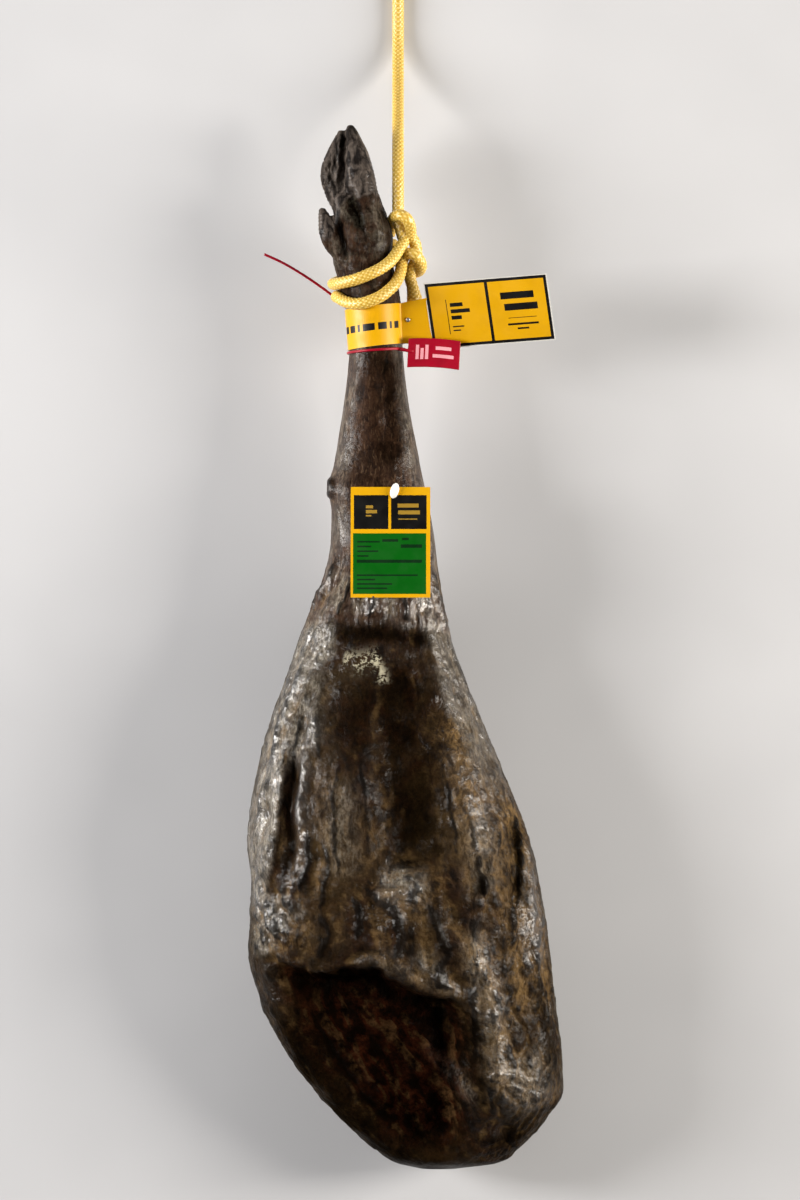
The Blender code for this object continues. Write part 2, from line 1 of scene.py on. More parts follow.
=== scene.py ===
"""A whole cured ham with its hoof, rope, card band, plastic seal and pinned label, seen from above.

Sizes are in millimetres, as x to the right from the rope's plumb line, s from the butt end to the
hoof and z up from the table, and row() turns them into the frame's metres.
"""

import itertools
import math

import bmesh
import bpy
import numpy as np
from mathutils import Matrix, Vector


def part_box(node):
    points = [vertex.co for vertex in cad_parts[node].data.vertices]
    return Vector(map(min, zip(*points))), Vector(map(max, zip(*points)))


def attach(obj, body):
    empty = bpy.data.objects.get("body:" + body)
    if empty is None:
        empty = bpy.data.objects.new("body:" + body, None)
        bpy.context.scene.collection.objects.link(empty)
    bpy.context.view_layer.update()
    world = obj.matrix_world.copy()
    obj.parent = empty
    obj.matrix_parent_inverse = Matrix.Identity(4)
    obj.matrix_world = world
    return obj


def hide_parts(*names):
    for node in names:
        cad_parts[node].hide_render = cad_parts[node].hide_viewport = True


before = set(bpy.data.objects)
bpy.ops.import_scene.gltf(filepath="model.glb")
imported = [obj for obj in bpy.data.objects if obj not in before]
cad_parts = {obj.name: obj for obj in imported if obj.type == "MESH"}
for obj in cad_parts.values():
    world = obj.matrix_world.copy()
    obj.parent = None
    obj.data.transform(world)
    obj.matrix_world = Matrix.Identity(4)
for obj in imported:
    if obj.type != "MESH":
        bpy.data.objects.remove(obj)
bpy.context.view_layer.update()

MM = 0.001
LENGTH = 800
PLUMB_X = -3.8
ROPE_RADIUS = 4.5
CARD = 0.6

# The ham's outline: (s, value) through which a smooth curve runs
LEFT = [
    (0, 14), (4, -2), (15, -19), (38, -45), (61, -66), (96, -91), (130, -107), (164, -115.6),
    (199, -114.6), (222, -114), (250, -117), (291, -112), (337, -101), (383, -85), (417, -73),
    (452, -59), (480, -53), (504, -52.5), (521, -54.5), (540, -50.5), (567, -46), (601, -41),
    (630, -38.6), (657, -41), (678, -46.4), (700, -51), (720, -50), (742, -48), (752, -43),
]
RIGHT = [
    (0, 46), (4, 74), (15, 91), (38, 112), (61, 124.5), (84, 124.2), (130, 118.8), (176, 114),
    (222, 106.4), (256, 98), (314, 75), (360, 56), (395, 42.5), (440, 32), (498, 24), (544, 14.5),
    (601, 4.6), (630, 2), (660, 1), (682, -3), (700, -7), (711, -5.5), (722, -7.5), (742, -15.5),
    (752, -22),
]
TOP = [
    (0, 60), (5, 72), (15, 84), (40, 100), (80, 115), (130, 130), (180, 140), (240, 142), (300, 137),
    (360, 125), (420, 111), (480, 102.5), (540, 98), (600, 96.5), (660, 96), (720, 94), (742, 90),
    (752, 84),
]
BOTTOM = [
    (0, 38), (5, 27), (15, 15), (40, 3), (80, -4), (240, -4), (330, -4), (390, 4), (440, 20), (500, 37),
    (560, 44), (600, 47.5), (660, 48), (720, 50), (742, 54), (752, 61),
]
WIDEST = [(0, 49), (40, 52), (130, 60), (300, 62), (420, 67), (520, 71), (600, 72), (752, 72)]
ROUNDNESS = [(0, 2.15), (60, 2.25), (300, 2.2), (450, 2.05), (540, 2.0), (752, 2.0)]

# The hollow in the butt, under a lip that runs across it
HOLLOW_DEPTH = 31
LIP = [
    (-118, 172), (-99, 168), (-77, 160), (-42, 159), (-19, 161), (-3, 152), (19, 142), (42, 134),
    (60, 124),
]
LIP_DROP = 13
HOLLOW_WALL = [(0, 56), (23, 66), (46, 64), (73, 66), (100, 70), (126, 66), (157, 58), (184, 42)]
WALL_SLOPE = 34
RIM_WIDTH = 6
RIM_SLOPE = 46
END_RIM = 3
END_SLOPE = 34

# Skin is left on the shank down to a ragged arch, as a step that fades out toward the hoof
SKIN_ARCH = [(-90, 402), (-76, 413), (-47, 420), (-10, 420), (18, 416), (38, 411), (50, 404)]
SKIN_STEP = 2.2
SKIN_SLOPE = 7
SKIN_RAGGED = 5
SKIN_STEP_END = 560
SKIN_STEP_FADE = 120

# Paths as (x, s), for the tables and functions below
LEFT_FOLD = [(-60, 378), (-64, 345), (-71, 314), (-76, 287), (-74, 260), (-90, 198)]
LIP_EDGE = [(-24, 176), (-6, 164), (14, 154), (36, 148), (56, 132)]
RIDGE_CREST = [(50, 200), (58, 168), (66, 138), (74, 98), (84, 66), (98, 40)]
HOCK_NICK = [(-53, 532), (-51.4, 522), (-52.6, 512)]
SMALL_SLIT = [(61, 232), (62, 222), (61, 212)]
CLAW_NICK = [(-53, 773), (-54.2, 764), (-53.4, 755)]

# Main ridges above zero and grooves below: height, half width, path as (x, s)
STROKES = {
    "trough": (-11, 26, [(-3, 372), (2, 330), (9, 290), (14, 250), (17, 226)]),
    "left_muscle": (4, 26, [(-30, 352), (-38, 300), (-40, 250), (-38, 198)]),
    "right_muscle": (5, 22, [(34, 350), (50, 295), (60, 240), (62, 185)]),
    "skin_edge": (4.5, 7, [(-52, 398), (-69, 379), (-82, 352), (-90, 310), (-94, 270), (-105, 200)]),
    "left_groove": (-8, 5.5, [(-82, 330), (-81, 300), (-85, 278), (-81, 249), (-88, 218)]),
    "left_fold": (5, 6, LEFT_FOLD),
    "right_groove": (-6, 6, [(84, 276), (89, 248), (89, 215), (86, 196)]),
    "right_fold": (4, 6, [(92, 262), (98, 232), (101, 192), (103, 150)]),
    "ridge": (8, 10, [(36, 196), (52, 174), (64, 146), (70, 112), (71, 80), (74, 50)]),
    "shank_groove": (-2.5, 7, [(-12, 622), (-11, 585), (-8, 545)]),
    "lip_tongue": (5, 9, [(-24, 190), (-12, 168), (8, 156), (24, 148)]),
    "hollow_rib": (5, 9, [(-55, 118), (-38, 82), (-12, 46)]),
    "hollow_streak": (4, 7, [(24, 118), (28, 88), (46, 68), (64, 52)]),
}
# Round bulges and pits: height, radius, centre as (x, s)
BUMPS = {
    "knob": (9, 27, (94, 72)),
    "knob_pit": (-6, 8, (81, 32)),
    "left_pit": (-5, 9, (-103, 272)),
    "dark_hollow": (-6, 17, (10, 252)),
    "hock": (3, 14, (-40, 516)),
}
# Relief leans to the sides by this share of its height, and rises at least by the second share
SIDEWAYS_SHARE = 0.6
LEAST_UPWARD = 0.4

# Finer creases and ridges: height, half width, path as (x, s)
CREASES = [
    (-2.2, 1.8, [(-47, 470), (-58, 446), (-72, 424)]),
    (1.4, 2.6, [(-42, 468), (-52, 446), (-64, 426)]),
    (-1.8, 1.8, [(-36, 452), (-43, 436), (-50, 421)]),
    (1.8, 3.0, [(-28, 450), (-31, 436), (-35, 421)]),
    (-1.6, 1.8, [(-20, 448), (-20, 434), (-23, 420)]),
    (2.0, 3.2, [(-10, 448), (-8, 432), (-7, 416)]),
    (-1.8, 2.0, [(2, 446), (4, 432), (4, 418)]),
    (1.4, 2.6, [(11, 452), (15, 436), (18, 420)]),
    (-1.6, 1.8, [(22, 470), (27, 446), (33, 422), (40, 400)]),
    (1.6, 2.6, [(27, 478), (33, 450), (40, 424), (50, 398), (60, 372)]),
    (-1.5, 1.8, [(36, 412), (44, 384), (56, 356), (68, 330)]),
    (-2.4, 2.0, [(-66, 400), (-80, 372), (-92, 340), (-99, 300)]),
    (-1.6, 1.8, [(-74, 352), (-80, 322), (-82, 296)]),
    (1.2, 2.2, [(-96, 352), (-104, 312), (-108, 280)]),
    (-2.6, 2.2, [(-70, 268), (-69, 240), (-78, 212)]),
    (2.0, 3.0, [(-64, 262), (-62, 236), (-68, 206)]),
    (-2.0, 2.2, [(-57, 258), (-54, 232), (-60, 200)]),
    (1.6, 2.8, [(-96, 222), (-92, 204), (-82, 190), (-76, 178)]),
    (-2.0, 2.4, [(-104, 214), (-98, 196), (-88, 184)]),
    (1.8, 2.6, [(-110, 206), (-104, 188), (-94, 176)]),
    (-1.8, 2.2, [(-30, 330), (-28, 300), (-24, 268), (-26, 236)]),
    (1.4, 2.6, [(-18, 322), (-14, 290), (-12, 262), (-16, 232)]),
    (-1.6, 2.0, [(-46, 320), (-50, 286), (-48, 250), (-44, 214)]),
    (-2.0, 2.2, [(28, 326), (36, 294), (42, 262), (44, 232)]),
    (1.6, 2.4, [(22, 306), (28, 276), (31, 246), (32, 218)]),
    (-1.8, 2.2, [(52, 276), (58, 246), (62, 216), (60, 190)]),
    (1.6, 2.4, [(72, 292), (78, 256), (80, 222), (76, 188)]),
    (-1.6, 2.0, [(66, 262), (70, 232), (70, 200)]),
    (-2.2, 2.4, [(76, 170), (84, 140), (92, 112)]),
    (1.8, 2.6, [(84, 180), (92, 150), (100, 120)]),
    (-2.5, 2.2, HOCK_NICK),
    (-4.5, 3.2, [(85, 276), (89, 250), (90, 222), (87, 198)]),
    (-4.0, 3.0, SMALL_SLIT),
    (-1.8, 2.2, [(100, 190), (106, 158), (110, 124), (114, 96)]),
    (1.4, 2.4, [(108, 178), (113, 146), (117, 112)]),
    (-2.4, 2.6, [(36, 172), (30, 160), (32, 148), (44, 140)]),
    (2.4, 3.0, [(16, 182), (22, 168), (22, 156)]),
    (-2.0, 2.4, [(6, 196), (10, 178), (4, 166)]),
    (1.6, 2.6, [(72, 96), (80, 82), (78, 66), (86, 54)]),
    (-2.4, 2.4, [(66, 98), (70, 78), (68, 58), (76, 42)]),
    (2.0, 2.6, [(50, 76), (60, 62), (68, 48), (74, 34)]),
    (-2.2, 2.6, [(-72, 140), (-66, 118), (-50, 92), (-30, 62), (-8, 36)]),
    (-1.8, 2.6, [(-38, 128), (-24, 104), (-8, 84), (6, 60)]),
    (1.6, 3.0, [(-22, 132), (-8, 108), (8, 86), (24, 66)]),
    (2.0, 3.0, [(30, 138), (32, 120), (30, 106)]),
    (2.6, 4.2, [(29, 230), (36, 206), (50, 180), (59, 158)]),
    (-3.2, 3.2, [(-5, 210), (1, 182), (-4, 162)]),
    (-2.8, 3.0, [(20, 216), (27, 190), (40, 164)]),
    (3.2, 5.5, [(5, 157), (15, 153), (24, 149)]),
    (3.2, 5.5, [(35, 151), (43, 147), (50, 140)]),
    (-2.8, 2.4, [(26, 156), (29, 150), (30, 142)]),
    (2.2, 3.4, [(-46, 161), (-24, 171), (-9, 163)]),
    (-2.4, 2.8, [(-34, 216), (-30, 194), (-36, 177)]),
    (2.0, 3.2, [(-22, 214), (-18, 194), (-16, 177)]),
    (-2.0, 2.8, [(-58, 200), (-54, 184), (-60, 170)]),
    (2.6, 3.4, [(58, 162), (63, 138), (67, 112), (68, 86), (72, 60)]),
    (-2.6, 3.2, [(50, 152), (56, 128), (59, 104), (60, 80)]),
]
# Crumpled places: centre as (x, s) and half sizes
CRUMPLED = [((2, 218), (34, 26)), ((-92, 190), (22, 20))]


def profile(points, where):
    """Value at `where` of a smooth curve through the points that never overshoots them."""
    xs, ys = np.array(points, float).T
    widths = np.diff(xs)
    slopes = np.diff(ys) / widths
    tangents = np.zeros_like(ys)
    same_way = slopes[1:] * slopes[:-1] > 0
    near, far = 2 * widths[1:] + widths[:-1], widths[1:] + 2 * widths[:-1]
    with np.errstate(divide="ignore", invalid="ignore"):
        mean = (near + far) / (near / slopes[:-1] + far / slopes[1:])
    tangents[1:-1] = np.where(same_way, mean, 0)
    tangents[0], tangents[-1] = slopes[0], slopes[-1]
    where = np.clip(np.asarray(where, float), xs[0], xs[-1])
    i = np.clip(np.searchsorted(xs, where, side="right") - 1, 0, len(widths) - 1)
    t = (where - xs[i]) / widths[i]
    rise = (1 + 2 * t) * (1 - t) ** 2 * ys[i] + t**2 * (3 - 2 * t) * ys[i + 1]
    bend = t * (1 - t) ** 2 * tangents[i] - t**2 * (1 - t) * tangents[i + 1]
    return rise + bend * widths[i]


def fade(t):
    """0 below 0, 1 above 1, and smooth between."""
    t = np.clip(t, 0, 1)
    return t * t * (3 - 2 * t)


def row(points):
    """Places in the frame, in metres, of (x, s, z) in millimetres."""
    return (np.array(points, float) + (PLUMB_X, -LENGTH / 2, 0)) * MM


def lengths_along(points):
    """How far along a line of points each of them lies."""
    return np.concatenate([[0], np.cumsum(np.linalg.norm(np.diff(points, axis=0), axis=1))])


def path_distance(path, x, s):
    """How far each point lies from a path, and how far along the path its nearest point is, 0 to 1."""
    path = np.array(path, float)
    lengths = np.linalg.norm(np.diff(path, axis=0), axis=1)
    starts = lengths_along(path)
    best = np.full(x.shape, np.inf)
    along = np.zeros(x.shape)
    for a, b, length, start in zip(path, path[1:], lengths, starts):
        t = np.clip(((x - a[0]) * (b[0] - a[0]) + (s - a[1]) * (b[1] - a[1])) / length**2, 0, 1)
        far = np.hypot(x - a[0] - t * (b[0] - a[0]), s - a[1] - t * (b[1] - a[1]))
        nearer = far < best
        best = np.where(nearer, far, best)
        along = np.where(nearer, (start + t * length) / starts[-1], along)
    return best, along


def unit(vectors):
    """The vectors, each scaled to a length of 1."""
    return vectors / np.linalg.norm(vectors, axis=-1, keepdims=True)


def full_turn(sides):
    """Angles spread evenly over a full turn."""
    return np.linspace(0, 2 * math.pi, sides, endpoint=False)


def stroke(path, x, s, width, ends=0.2):
    """1 on a path and 0 away from it, fading out at both ends."""
    far, along = path_distance(path, x, s)
    return np.exp(-((far / width) ** 2)) * fade(along / ends) * fade((1 - along) / ends)


# Gradient noise, the same on every run
_draw = np.random.RandomState(7)
_gradients = unit(_draw.normal(size=(256, 3)))
_order = _draw.permutation(256)


def noise(x, y, z, seed=0):
    """Smooth noise from about -1 to 1."""
    place = np.stack(np.broadcast_arrays(x, y, z), axis=-1).astype(float) + seed * 17.31
    cell = np.floor(place).astype(int)
    part = place - cell
    ease = part**3 * (part * (part * 6 - 15) + 10)
    total = np.zeros(place.shape[:-1])
    for corner in itertools.product((0, 1), repeat=3):
        at = (cell + corner) & 255
        pick = _order[(_order[(_order[at[..., 0]] + at[..., 1]) & 255] + at[..., 2]) & 255]
        pull = ((part - corner) * _gradients[pick]).sum(axis=-1)
        total += pull * np.where(corner, ease, 1 - ease).prod(axis=-1)
    return total * 1.7


def octaves_of(x, y, z, count, seed):
    """Noise, and then more of it, each time twice as fine."""
    return (noise(x * 2**i, y * 2**i, z * 2**i, seed + i) for i in range(count))


def layered(x, y, z, octaves, seed=0):
    """Noise with finer noise on it."""
    total, size, reach = 0, 1.0, 0.0
    for value in octaves_of(x, y, z, octaves, seed):
        total = total + size * value
        reach += size
        size *= 0.5
    return total / reach


def ridged(x, y, z, octaves, seed=0):
    """Noise with sharp crests and finer crests on their flanks, from 0 to about 1."""
    total, size, weight = 0, 0.55, 1.0
    for value in octaves_of(x, y, z, octaves, seed):
        crest = np.clip(1 - np.abs(value) * 1.5, 0, 1) ** 2 * weight
        total = total + size * crest
        weight = np.clip(crest * 1.6, 0, 1)
        size *= 0.55
    return total


def billowed(x, y, z, octaves, seed=0):
    """Noise with round tops between sharp creases, from 0 to about 1."""
    total, size = 0, 0.62
    for value in octaves_of(x, y, z, octaves, seed):
        total = total + size * np.abs(value) * 1.5
        size *= 0.45
    return total


def hollow_share(x, s):
    """How much of the hollow's depth there is at each point, 0 to 1."""
    ragged = 4.2 * noise(x / 15, s / 15, 0 * x, 61) + 2.2 * noise(x / 6, s / 6, 0 * x, 62)
    under_lip = fade((profile(LIP, x) + ragged - s) / (LIP_DROP * 0.75))
    inside_wall = fade((profile(HOLLOW_WALL, s) - x) / WALL_SLOPE)
    inside_rim = fade((x - profile(LEFT, s) - RIM_WIDTH) / RIM_SLOPE)
    return under_lip * inside_wall * inside_rim * fade((s - END_RIM) / END_SLOPE)


def above_arch(x, s):
    """How far each point lies above the ragged lower edge of the skin."""
    return s - profile(SKIN_ARCH, x) + SKIN_RAGGED * layered(x / 14, s / 14, 0 * x, 3, 3)


def main_relief(x, s):
    """Height of the shown side's main forms above its smooth form."""
    total = np.zeros(np.shape(x))
    for height, width, path in STROKES.values():
        total += height * stroke(path, x, s, width)
    for height, radius, (at_x, at_s) in BUMPS.values():
        total += height * np.exp(-(((x - at_x) ** 2 + (s - at_s) ** 2) / radius**2))
    total -= HOLLOW_DEPTH * hollow_share(x, s)
    total += SKIN_STEP * fade(above_arch(x, s) / SKIN_SLOPE) * fade((SKIN_STEP_END - s) / SKIN_STEP_FADE)
    return total


def skin_share(x, s):
    """1 on the shank's skin and 0 on the trimmed flesh."""
    return fade(above_arch(x, s) / SKIN_SLOPE + 0.5)


def patch(x, s, centre, half):
    """1 at a centre, fading to 0 around it over the half sizes across and along."""
    return np.exp(-(((x - centre[0]) / half[0]) ** 2 + ((s - centre[1]) / half[1]) ** 2))


def coarse_weights(flesh, hollow, right_mass, left_folds, gathered):
    """How strong the long folds and the wrinkles are at each point."""
    folding = flesh * (1 - 0.75 * hollow) * (0.22 + 0.16 * right_mass + 0.8 * left_folds)
    soft = flesh * (0.2 + 0.15 * right_mass + 0.5 * left_folds)
    return folding * 1.7, (0.28 + soft + 1.3 * gathered) * (1 - 0.6 * hollow) * 1.4


def crease_relief(x, s, flat):
    """Height of the single creases and small ridges, at full strength where `flat` is 1."""
    total = 0 * x
    wander = 1.8 * noise(x / 8, s / 12, 0 * x, 31) + 0.8 * noise(x / 3, s / 5, 0 * x, 32)
    for height, width, path in CREASES:
        total += height * flat * stroke(path, x + wander, s, width, 0.25)
    return total


def fine_relief(x, s, z, up):
    """Height of wrinkles, creases and grain above the main forms."""
    shown = fade((up + 0.1) / 0.4)
    flesh = 1 - skin_share(x, s)
    hollow = hollow_share(x, s) * shown
    side = x + 7 * noise(x / 34, s / 46, z / 34, 11) + 2 * noise(x / 11, s / 15, z / 11, 12)
    on = s + 9 * noise(x / 30, s / 40, z / 30, 13)
    right_mass = fade((x - 48) / 22) * fade((330 - s) / 60) * shown
    left_folds = fade((-42 - x) / 22) * fade((s - 150) / 40) * fade((430 - s) / 40) * shown
    gathered = np.exp(-(((s - 438) / 28) ** 2))
    crumpled = shown * np.maximum(*(patch(x, s, centre, half) for centre, half in CRUMPLED))
    on_ridge = shown * stroke(RIDGE_CREST, x, s, 13)
    long_folds = billowed(side / 19, on / 96, z / 21, 2, 1)
    wrinkles = billowed(side / 8.5, on / 42, z / 10, 2, 2)
    crumple = ridged(side / 12, on / 15, z / 12, 4, 6)
    small_crumple = ridged(side / 5.5, on / 6.5, z / 5.5, 3, 17)
    lumps = layered(side / 19, on / 30, z / 19, 5, 5)
    grain = layered(x / 4.2, s / 5.5, z / 4.2, 3, 9)
    down = (x * 0.86 + s * 0.5 + 4 * noise(x / 20, s / 20, 0 * x, 15)) / 12
    slanted = ridged(down, (s * 0.86 - x * 0.5) / 60, z / 30, 3, 16)
    folding, wrinkling = coarse_weights(flesh, hollow, right_mass, left_folds, gathered)
    crumpling = 2.0 * crumpled + 1.3 * on_ridge + 0.7 * gathered * shown
    crumpling = crumpling + 0.6 * right_mass + 0.5 * left_folds + 0.3 * hollow
    total = folding * (long_folds - 0.35)
    total += wrinkling * (wrinkles - 0.3)
    total += (0.6 * flesh + 3.2 * crumpled + 0.6 * hollow + 1.5 * right_mass) * (crumple - 0.35)
    total += crumpling * (small_crumple - 0.35)
    total += (0.4 + 1.5 * flesh * (0.35 + 0.65 * shown) + 1.5 * hollow) * lumps
    total += (0.1 + 0.34 * flesh + 0.2 * hollow) * grain
    total += 2.6 * hollow * (slanted - 0.35)
    in_trough = fade((52 - np.abs(x - 4)) / 30) * fade((s - 205) / 25) * fade((345 - s) / 25)
    total += crease_relief(x, s, shown * (1 - 0.55 * in_trough) * (1 - 0.45 * right_mass))
    return 1.15 * total


def section_grid(s, angles):
    """Points (x, s, z) of the ham's main form for columns of s and rows of angles."""
    left, right = profile(LEFT, s), profile(RIGHT, s)
    top, bottom, level = profile(TOP, s), profile(BOTTOM, s), profile(WIDEST, s)
    power = 2 / profile(ROUNDNESS, s)
    across, up = np.cos(angles), np.sin(angles)
    half = (right - left) / 2
    height = np.where(up > 0, top - level, level - bottom)
    x = (left + right) / 2 + half * np.sign(across) * np.abs(across) ** power
    z = level + height * np.sign(up) * np.abs(up) ** power
    rise = main_relief(x, s + 0 * x) * fade((up - 0.05) / 0.4)
    lean = np.stack([across / half, up / height])
    lean /= np.linalg.norm(lean, axis=0)
    x = x + rise * lean[0] * SIDEWAYS_SHARE
    z = np.maximum(z + rise * np.where(up > 0, np.maximum(lean[1], LEAST_UPWARD), 0), 0)
    return np.stack([x, s + 0 * x, z], axis=-1)


def grid_normals(grid):
    """Outward normals of a grid of rings that close on themselves."""
    along = np.gradient(grid, axis=0)
    around = np.roll(grid, -1, axis=1) - np.roll(grid, 1, axis=1)
    normals = np.cross(around, along)
    return normals / np.maximum(np.linalg.norm(normals, axis=-1), 1e-9)[..., None]


# Making objects

def link(obj):
    """The object, added to the scene."""
    bpy.context.scene.collection.objects.link(obj)
    return obj


def mesh_of(name, points, faces, paints, face_paints=None, smooth=True):
    """An object from points in millimetres and faces, each face with its paint."""
    mesh = bpy.data.meshes.new(name)
    mesh.from_pydata([tuple(p) for p in row(points)], [], [tuple(int(i) for i in f) for f in faces])
    for paint in paints:
        mesh.materials.append(paint)
    if face_paints is not None:
        mesh.polygons.foreach_set("material_index", face_paints)
    if smooth:
        mesh.shade_smooth()
    mesh.update()
    return link(bpy.data.objects.new(name, mesh))


def grid_faces(count, sides):
    """Quads between `count` rings of `sides` points."""
    i = np.arange(count - 1)[:, None] * sides
    j = np.arange(sides)[None, :]
    k = (j + 1) % sides
    return np.stack(np.broadcast_arrays(i + j, i + k, i + sides + k, i + sides + j), axis=-1).reshape(-1, 4)


def capped(rings):
    """Points and faces of a closed body through rings of points, with a point in the middle of each end."""
    rings = np.array(rings, float)
    count, sides = rings.shape[:2]
    points = np.concatenate([rings.reshape(-1, 3), [rings[0].mean(axis=0)], [rings[-1].mean(axis=0)]])
    faces = [tuple(f) for f in grid_faces(count, sides)]
    first, last = count * sides, count * sides + 1
    for j in range(sides):
        k = (j + 1) % sides
        faces.append((first, k, j))
        faces.append((last, (count - 1) * sides + j, (count - 1) * sides + k))
    return points, faces


def face_out(obj):
    """The object with every face turned outward."""
    shell = bmesh.new()
    shell.from_mesh(obj.data)
    bmesh.ops.recalc_face_normals(shell, faces=shell.faces)
    if shell.calc_volume(signed=True) < 0:
        bmesh.ops.reverse_faces(shell, faces=shell.faces)
    shell.to_mesh(obj.data)
    shell.free()
    return obj


def set_tones(obj, name, channels):
    """Stores four values a point for the material, such as how much mould lies there."""
    values = np.stack(np.broadcast_arrays(*channels), axis=-1).reshape(-1).astype(np.float32)
    layer = obj.data.attributes.new(name, "FLOAT_COLOR", "POINT")
    layer.data.foreach_set("color", values)


def keep(piece, slot, *nodes):
    """The piece rides on the part and stands for the named solids; the slot it is given is not used."""
    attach(piece, "root")
    if nodes:
        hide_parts(*nodes)


# Making materials

def srgb(red, green, blue):
    """Linear colour from the 0 to 255 values that a screen shows."""
    shown = np.array([red, green, blue]) / 255
    return tuple(np.where(shown <= 0.04045, shown / 12.92, ((shown + 0.055) / 1.055) ** 2.4)) + (1.0,)


class Paint:
    """A material made of nodes, with short calls for the kinds used here."""

    def __init__(self, name):
        self.material = bpy.data.materials.new(name)
        self.material.use_nodes = True
        self.tree = self.material.node_tree
        self.shader = self.tree.nodes["Principled BSDF"]
        self.place = self.tree.nodes.new("ShaderNodeTexCoord").outputs["Object"]

    def put(self, socket, value):
        """Feeds a socket from another one, or sets its value."""
        if isinstance(value, bpy.types.NodeSocket):
            self.tree.links.new(value, socket)
        else:
            socket.default_value = value

    def node(self, kind, settings, inputs, output):
        """A node with its settings and inputs, each by name; returns one of its outputs."""
        made = self.tree.nodes.new(f"ShaderNode{kind}")
        for name, value in settings.items():
            setattr(made, name, value)
        for name, value in inputs.items():
            self.put(made.inputs[name], value)
        return made.outputs[output]

    def stretch(self, scale):
        """Places scaled by a different amount each way."""
        return self.node("Mapping", {}, {"Vector": self.place, "Scale": scale}, "Vector")

    def noise(self, scale, detail=4.0, rough=0.55, vector=None, bend=0.0):
        inputs = {"Vector": vector or self.place, "Scale": scale, "Detail": detail, "Roughness": rough}
        return self.node("TexNoise", {}, inputs | {"Distortion": bend}, "Fac")

    def between(self, value, low, high, to_low=0.0, to_high=1.0):
        """The value taken smoothly from the range low to high to the range to_low to to_high."""
        inputs = {"Value": value, "From Min": low, "From Max": high, "To Min": to_low, "To Max": to_high}
        return self.node("MapRange", {"interpolation_type": "SMOOTHSTEP"}, inputs, "Result")

    def times(self, a, b):
        return self.node("Math", {"operation": "MULTIPLY"}, {0: a, 1: b}, 0)

    def plus(self, a, b, clamp=False):
        return self.node("Math", {"operation": "ADD", "use_clamp": clamp}, {0: a, 1: b}, 0)

    def mix(self, share, a, b, how="MIX"):
        settings = {"data_type": "RGBA", "blend_type": how, "clamp_factor": True}
        return self.node("Mix", settings, {"Factor": share, "A": a, "B": b}, "Result")

    def grade(self, value, low, high, a, b):
        """Colour a where the value is low, colour b where it is high."""
        return self.mix(self.between(value, low, high), a, b)

    def bump(self, height, distance, strength=1.0, under=None):
        """A normal bent by a height, over another normal where one is given."""
        inputs = {"Height": height, "Distance": distance, "Strength": strength}
        return self.node("Bump", {}, inputs if under is None else inputs | {"Normal": under}, "Normal")

    def tones(self, name):
        """The four values stored under a name."""
        stored = self.tree.nodes.new("ShaderNodeAttribute")
        stored.attribute_name = name
        parts = self.tree.nodes.new("ShaderNodeSeparateColor")
        self.tree.links.new(stored.outputs["Color"], parts.inputs["Color"])
        return [*parts.outputs, stored.outputs["Alpha"]]

    def finish(self, colour, roughness, normal=None, **fixed):
        """The material with its colour, roughness, relief and other fixed values."""
        self.put(self.shader.inputs["Base Color"], colour)
        self.put(self.shader.inputs["Roughness"], roughness)
        if normal is not None:
            self.put(self.shader.inputs["Normal"], normal)
        for name, value in fixed.items():
            self.shader.inputs[name.replace("_", " ")].default_value = value
        return self.material


def lean_colours(p, skin, rim_and_shade, bronze_and_glints, hollow, fibre, thin_fibre, blotch, mottle, speck):
    """Dark lean, the shank's skin, the rim darkened as painted shade, lighter warm parts with painted
    glints, and the hollow darkened as painted shade, before fatty rind, painted highlights and more painted
    shade.
    """
    lean = p.grade(fibre, 0.36, 0.66, srgb(19, 11, 6), srgb(46, 31, 16))
    lean = p.mix(p.between(mottle, 0.42, 0.7, 0, 0.6), lean, srgb(46, 24, 11))
    lean = p.mix(p.between(blotch, 0.42, 0.68, 0, 0.6), lean, srgb(60, 46, 25))
    shank = p.grade(fibre, 0.32, 0.68, srgb(31, 19, 13), srgb(72, 50, 36))
    shank = p.mix(p.between(blotch, 0.4, 0.66, 0, 0.65), shank, srgb(36, 24, 15))
    shank = p.mix(p.between(thin_fibre, 0.52, 0.7, 0, 0.45), shank, srgb(122, 97, 74))
    # The rim's colour, darkened as painted shade
    rim = p.grade(fibre, 0.35, 0.66, srgb(14, 9, 4), srgb(40, 28, 13))
    base = p.mix(p.times(rim_and_shade, 0.75), p.mix(skin, lean, shank), rim)
    # Painted glints: lighter warm spots on the marked parts, where mottle and speck are high
    lit = p.grade(fibre, 0.36, 0.64, srgb(64, 47, 27), srgb(138, 111, 70))
    base = p.mix(p.times(bronze_and_glints, p.between(p.plus(mottle, speck), 0.84, 1.12, 0.15, 1.0)), base, lit)
    # The hollow's red-brown flesh, darkened as painted shade
    hollow_flesh_shaded = p.grade(mottle, 0.36, 0.66, srgb(7, 3, 2), srgb(50, 23, 11))
    return p.mix(p.times(hollow, 0.96), base, hollow_flesh_shaded)


def meat_shades(p, base, ridge, hollow, dark_and_shade, mottle, speck):
    """Painted highlights on crests, painted shade in grooves and where the cover layer holds shade, and
    darker specks.
    """
    # Painted highlight: crests lighter, from the form layer
    high = p.times(p.between(ridge, 0.54, 0.9, 0, 0.5), p.between(hollow, 0, 1, 1.0, 0.45))
    base = p.mix(p.times(high, p.between(mottle, 0.35, 0.6)), base, srgb(118, 94, 60))
    base = p.mix(p.between(speck, 0.44, 0.62, 0, 0.55), base, (0.42, 0.36, 0.3, 1), "MULTIPLY")
    # Painted shade: grooves nearly black, from the form layer
    base = p.mix(p.between(ridge, 0.46, 0.1, 0, 0.85), base, srgb(7, 4, 2))
    # Painted shade and darker places from the cover layer, nearly black
    return p.mix(p.times(dark_and_shade, p.between(mottle, 0.25, 0.7, 1.0, 0.7)), base, srgb(6, 4, 2))


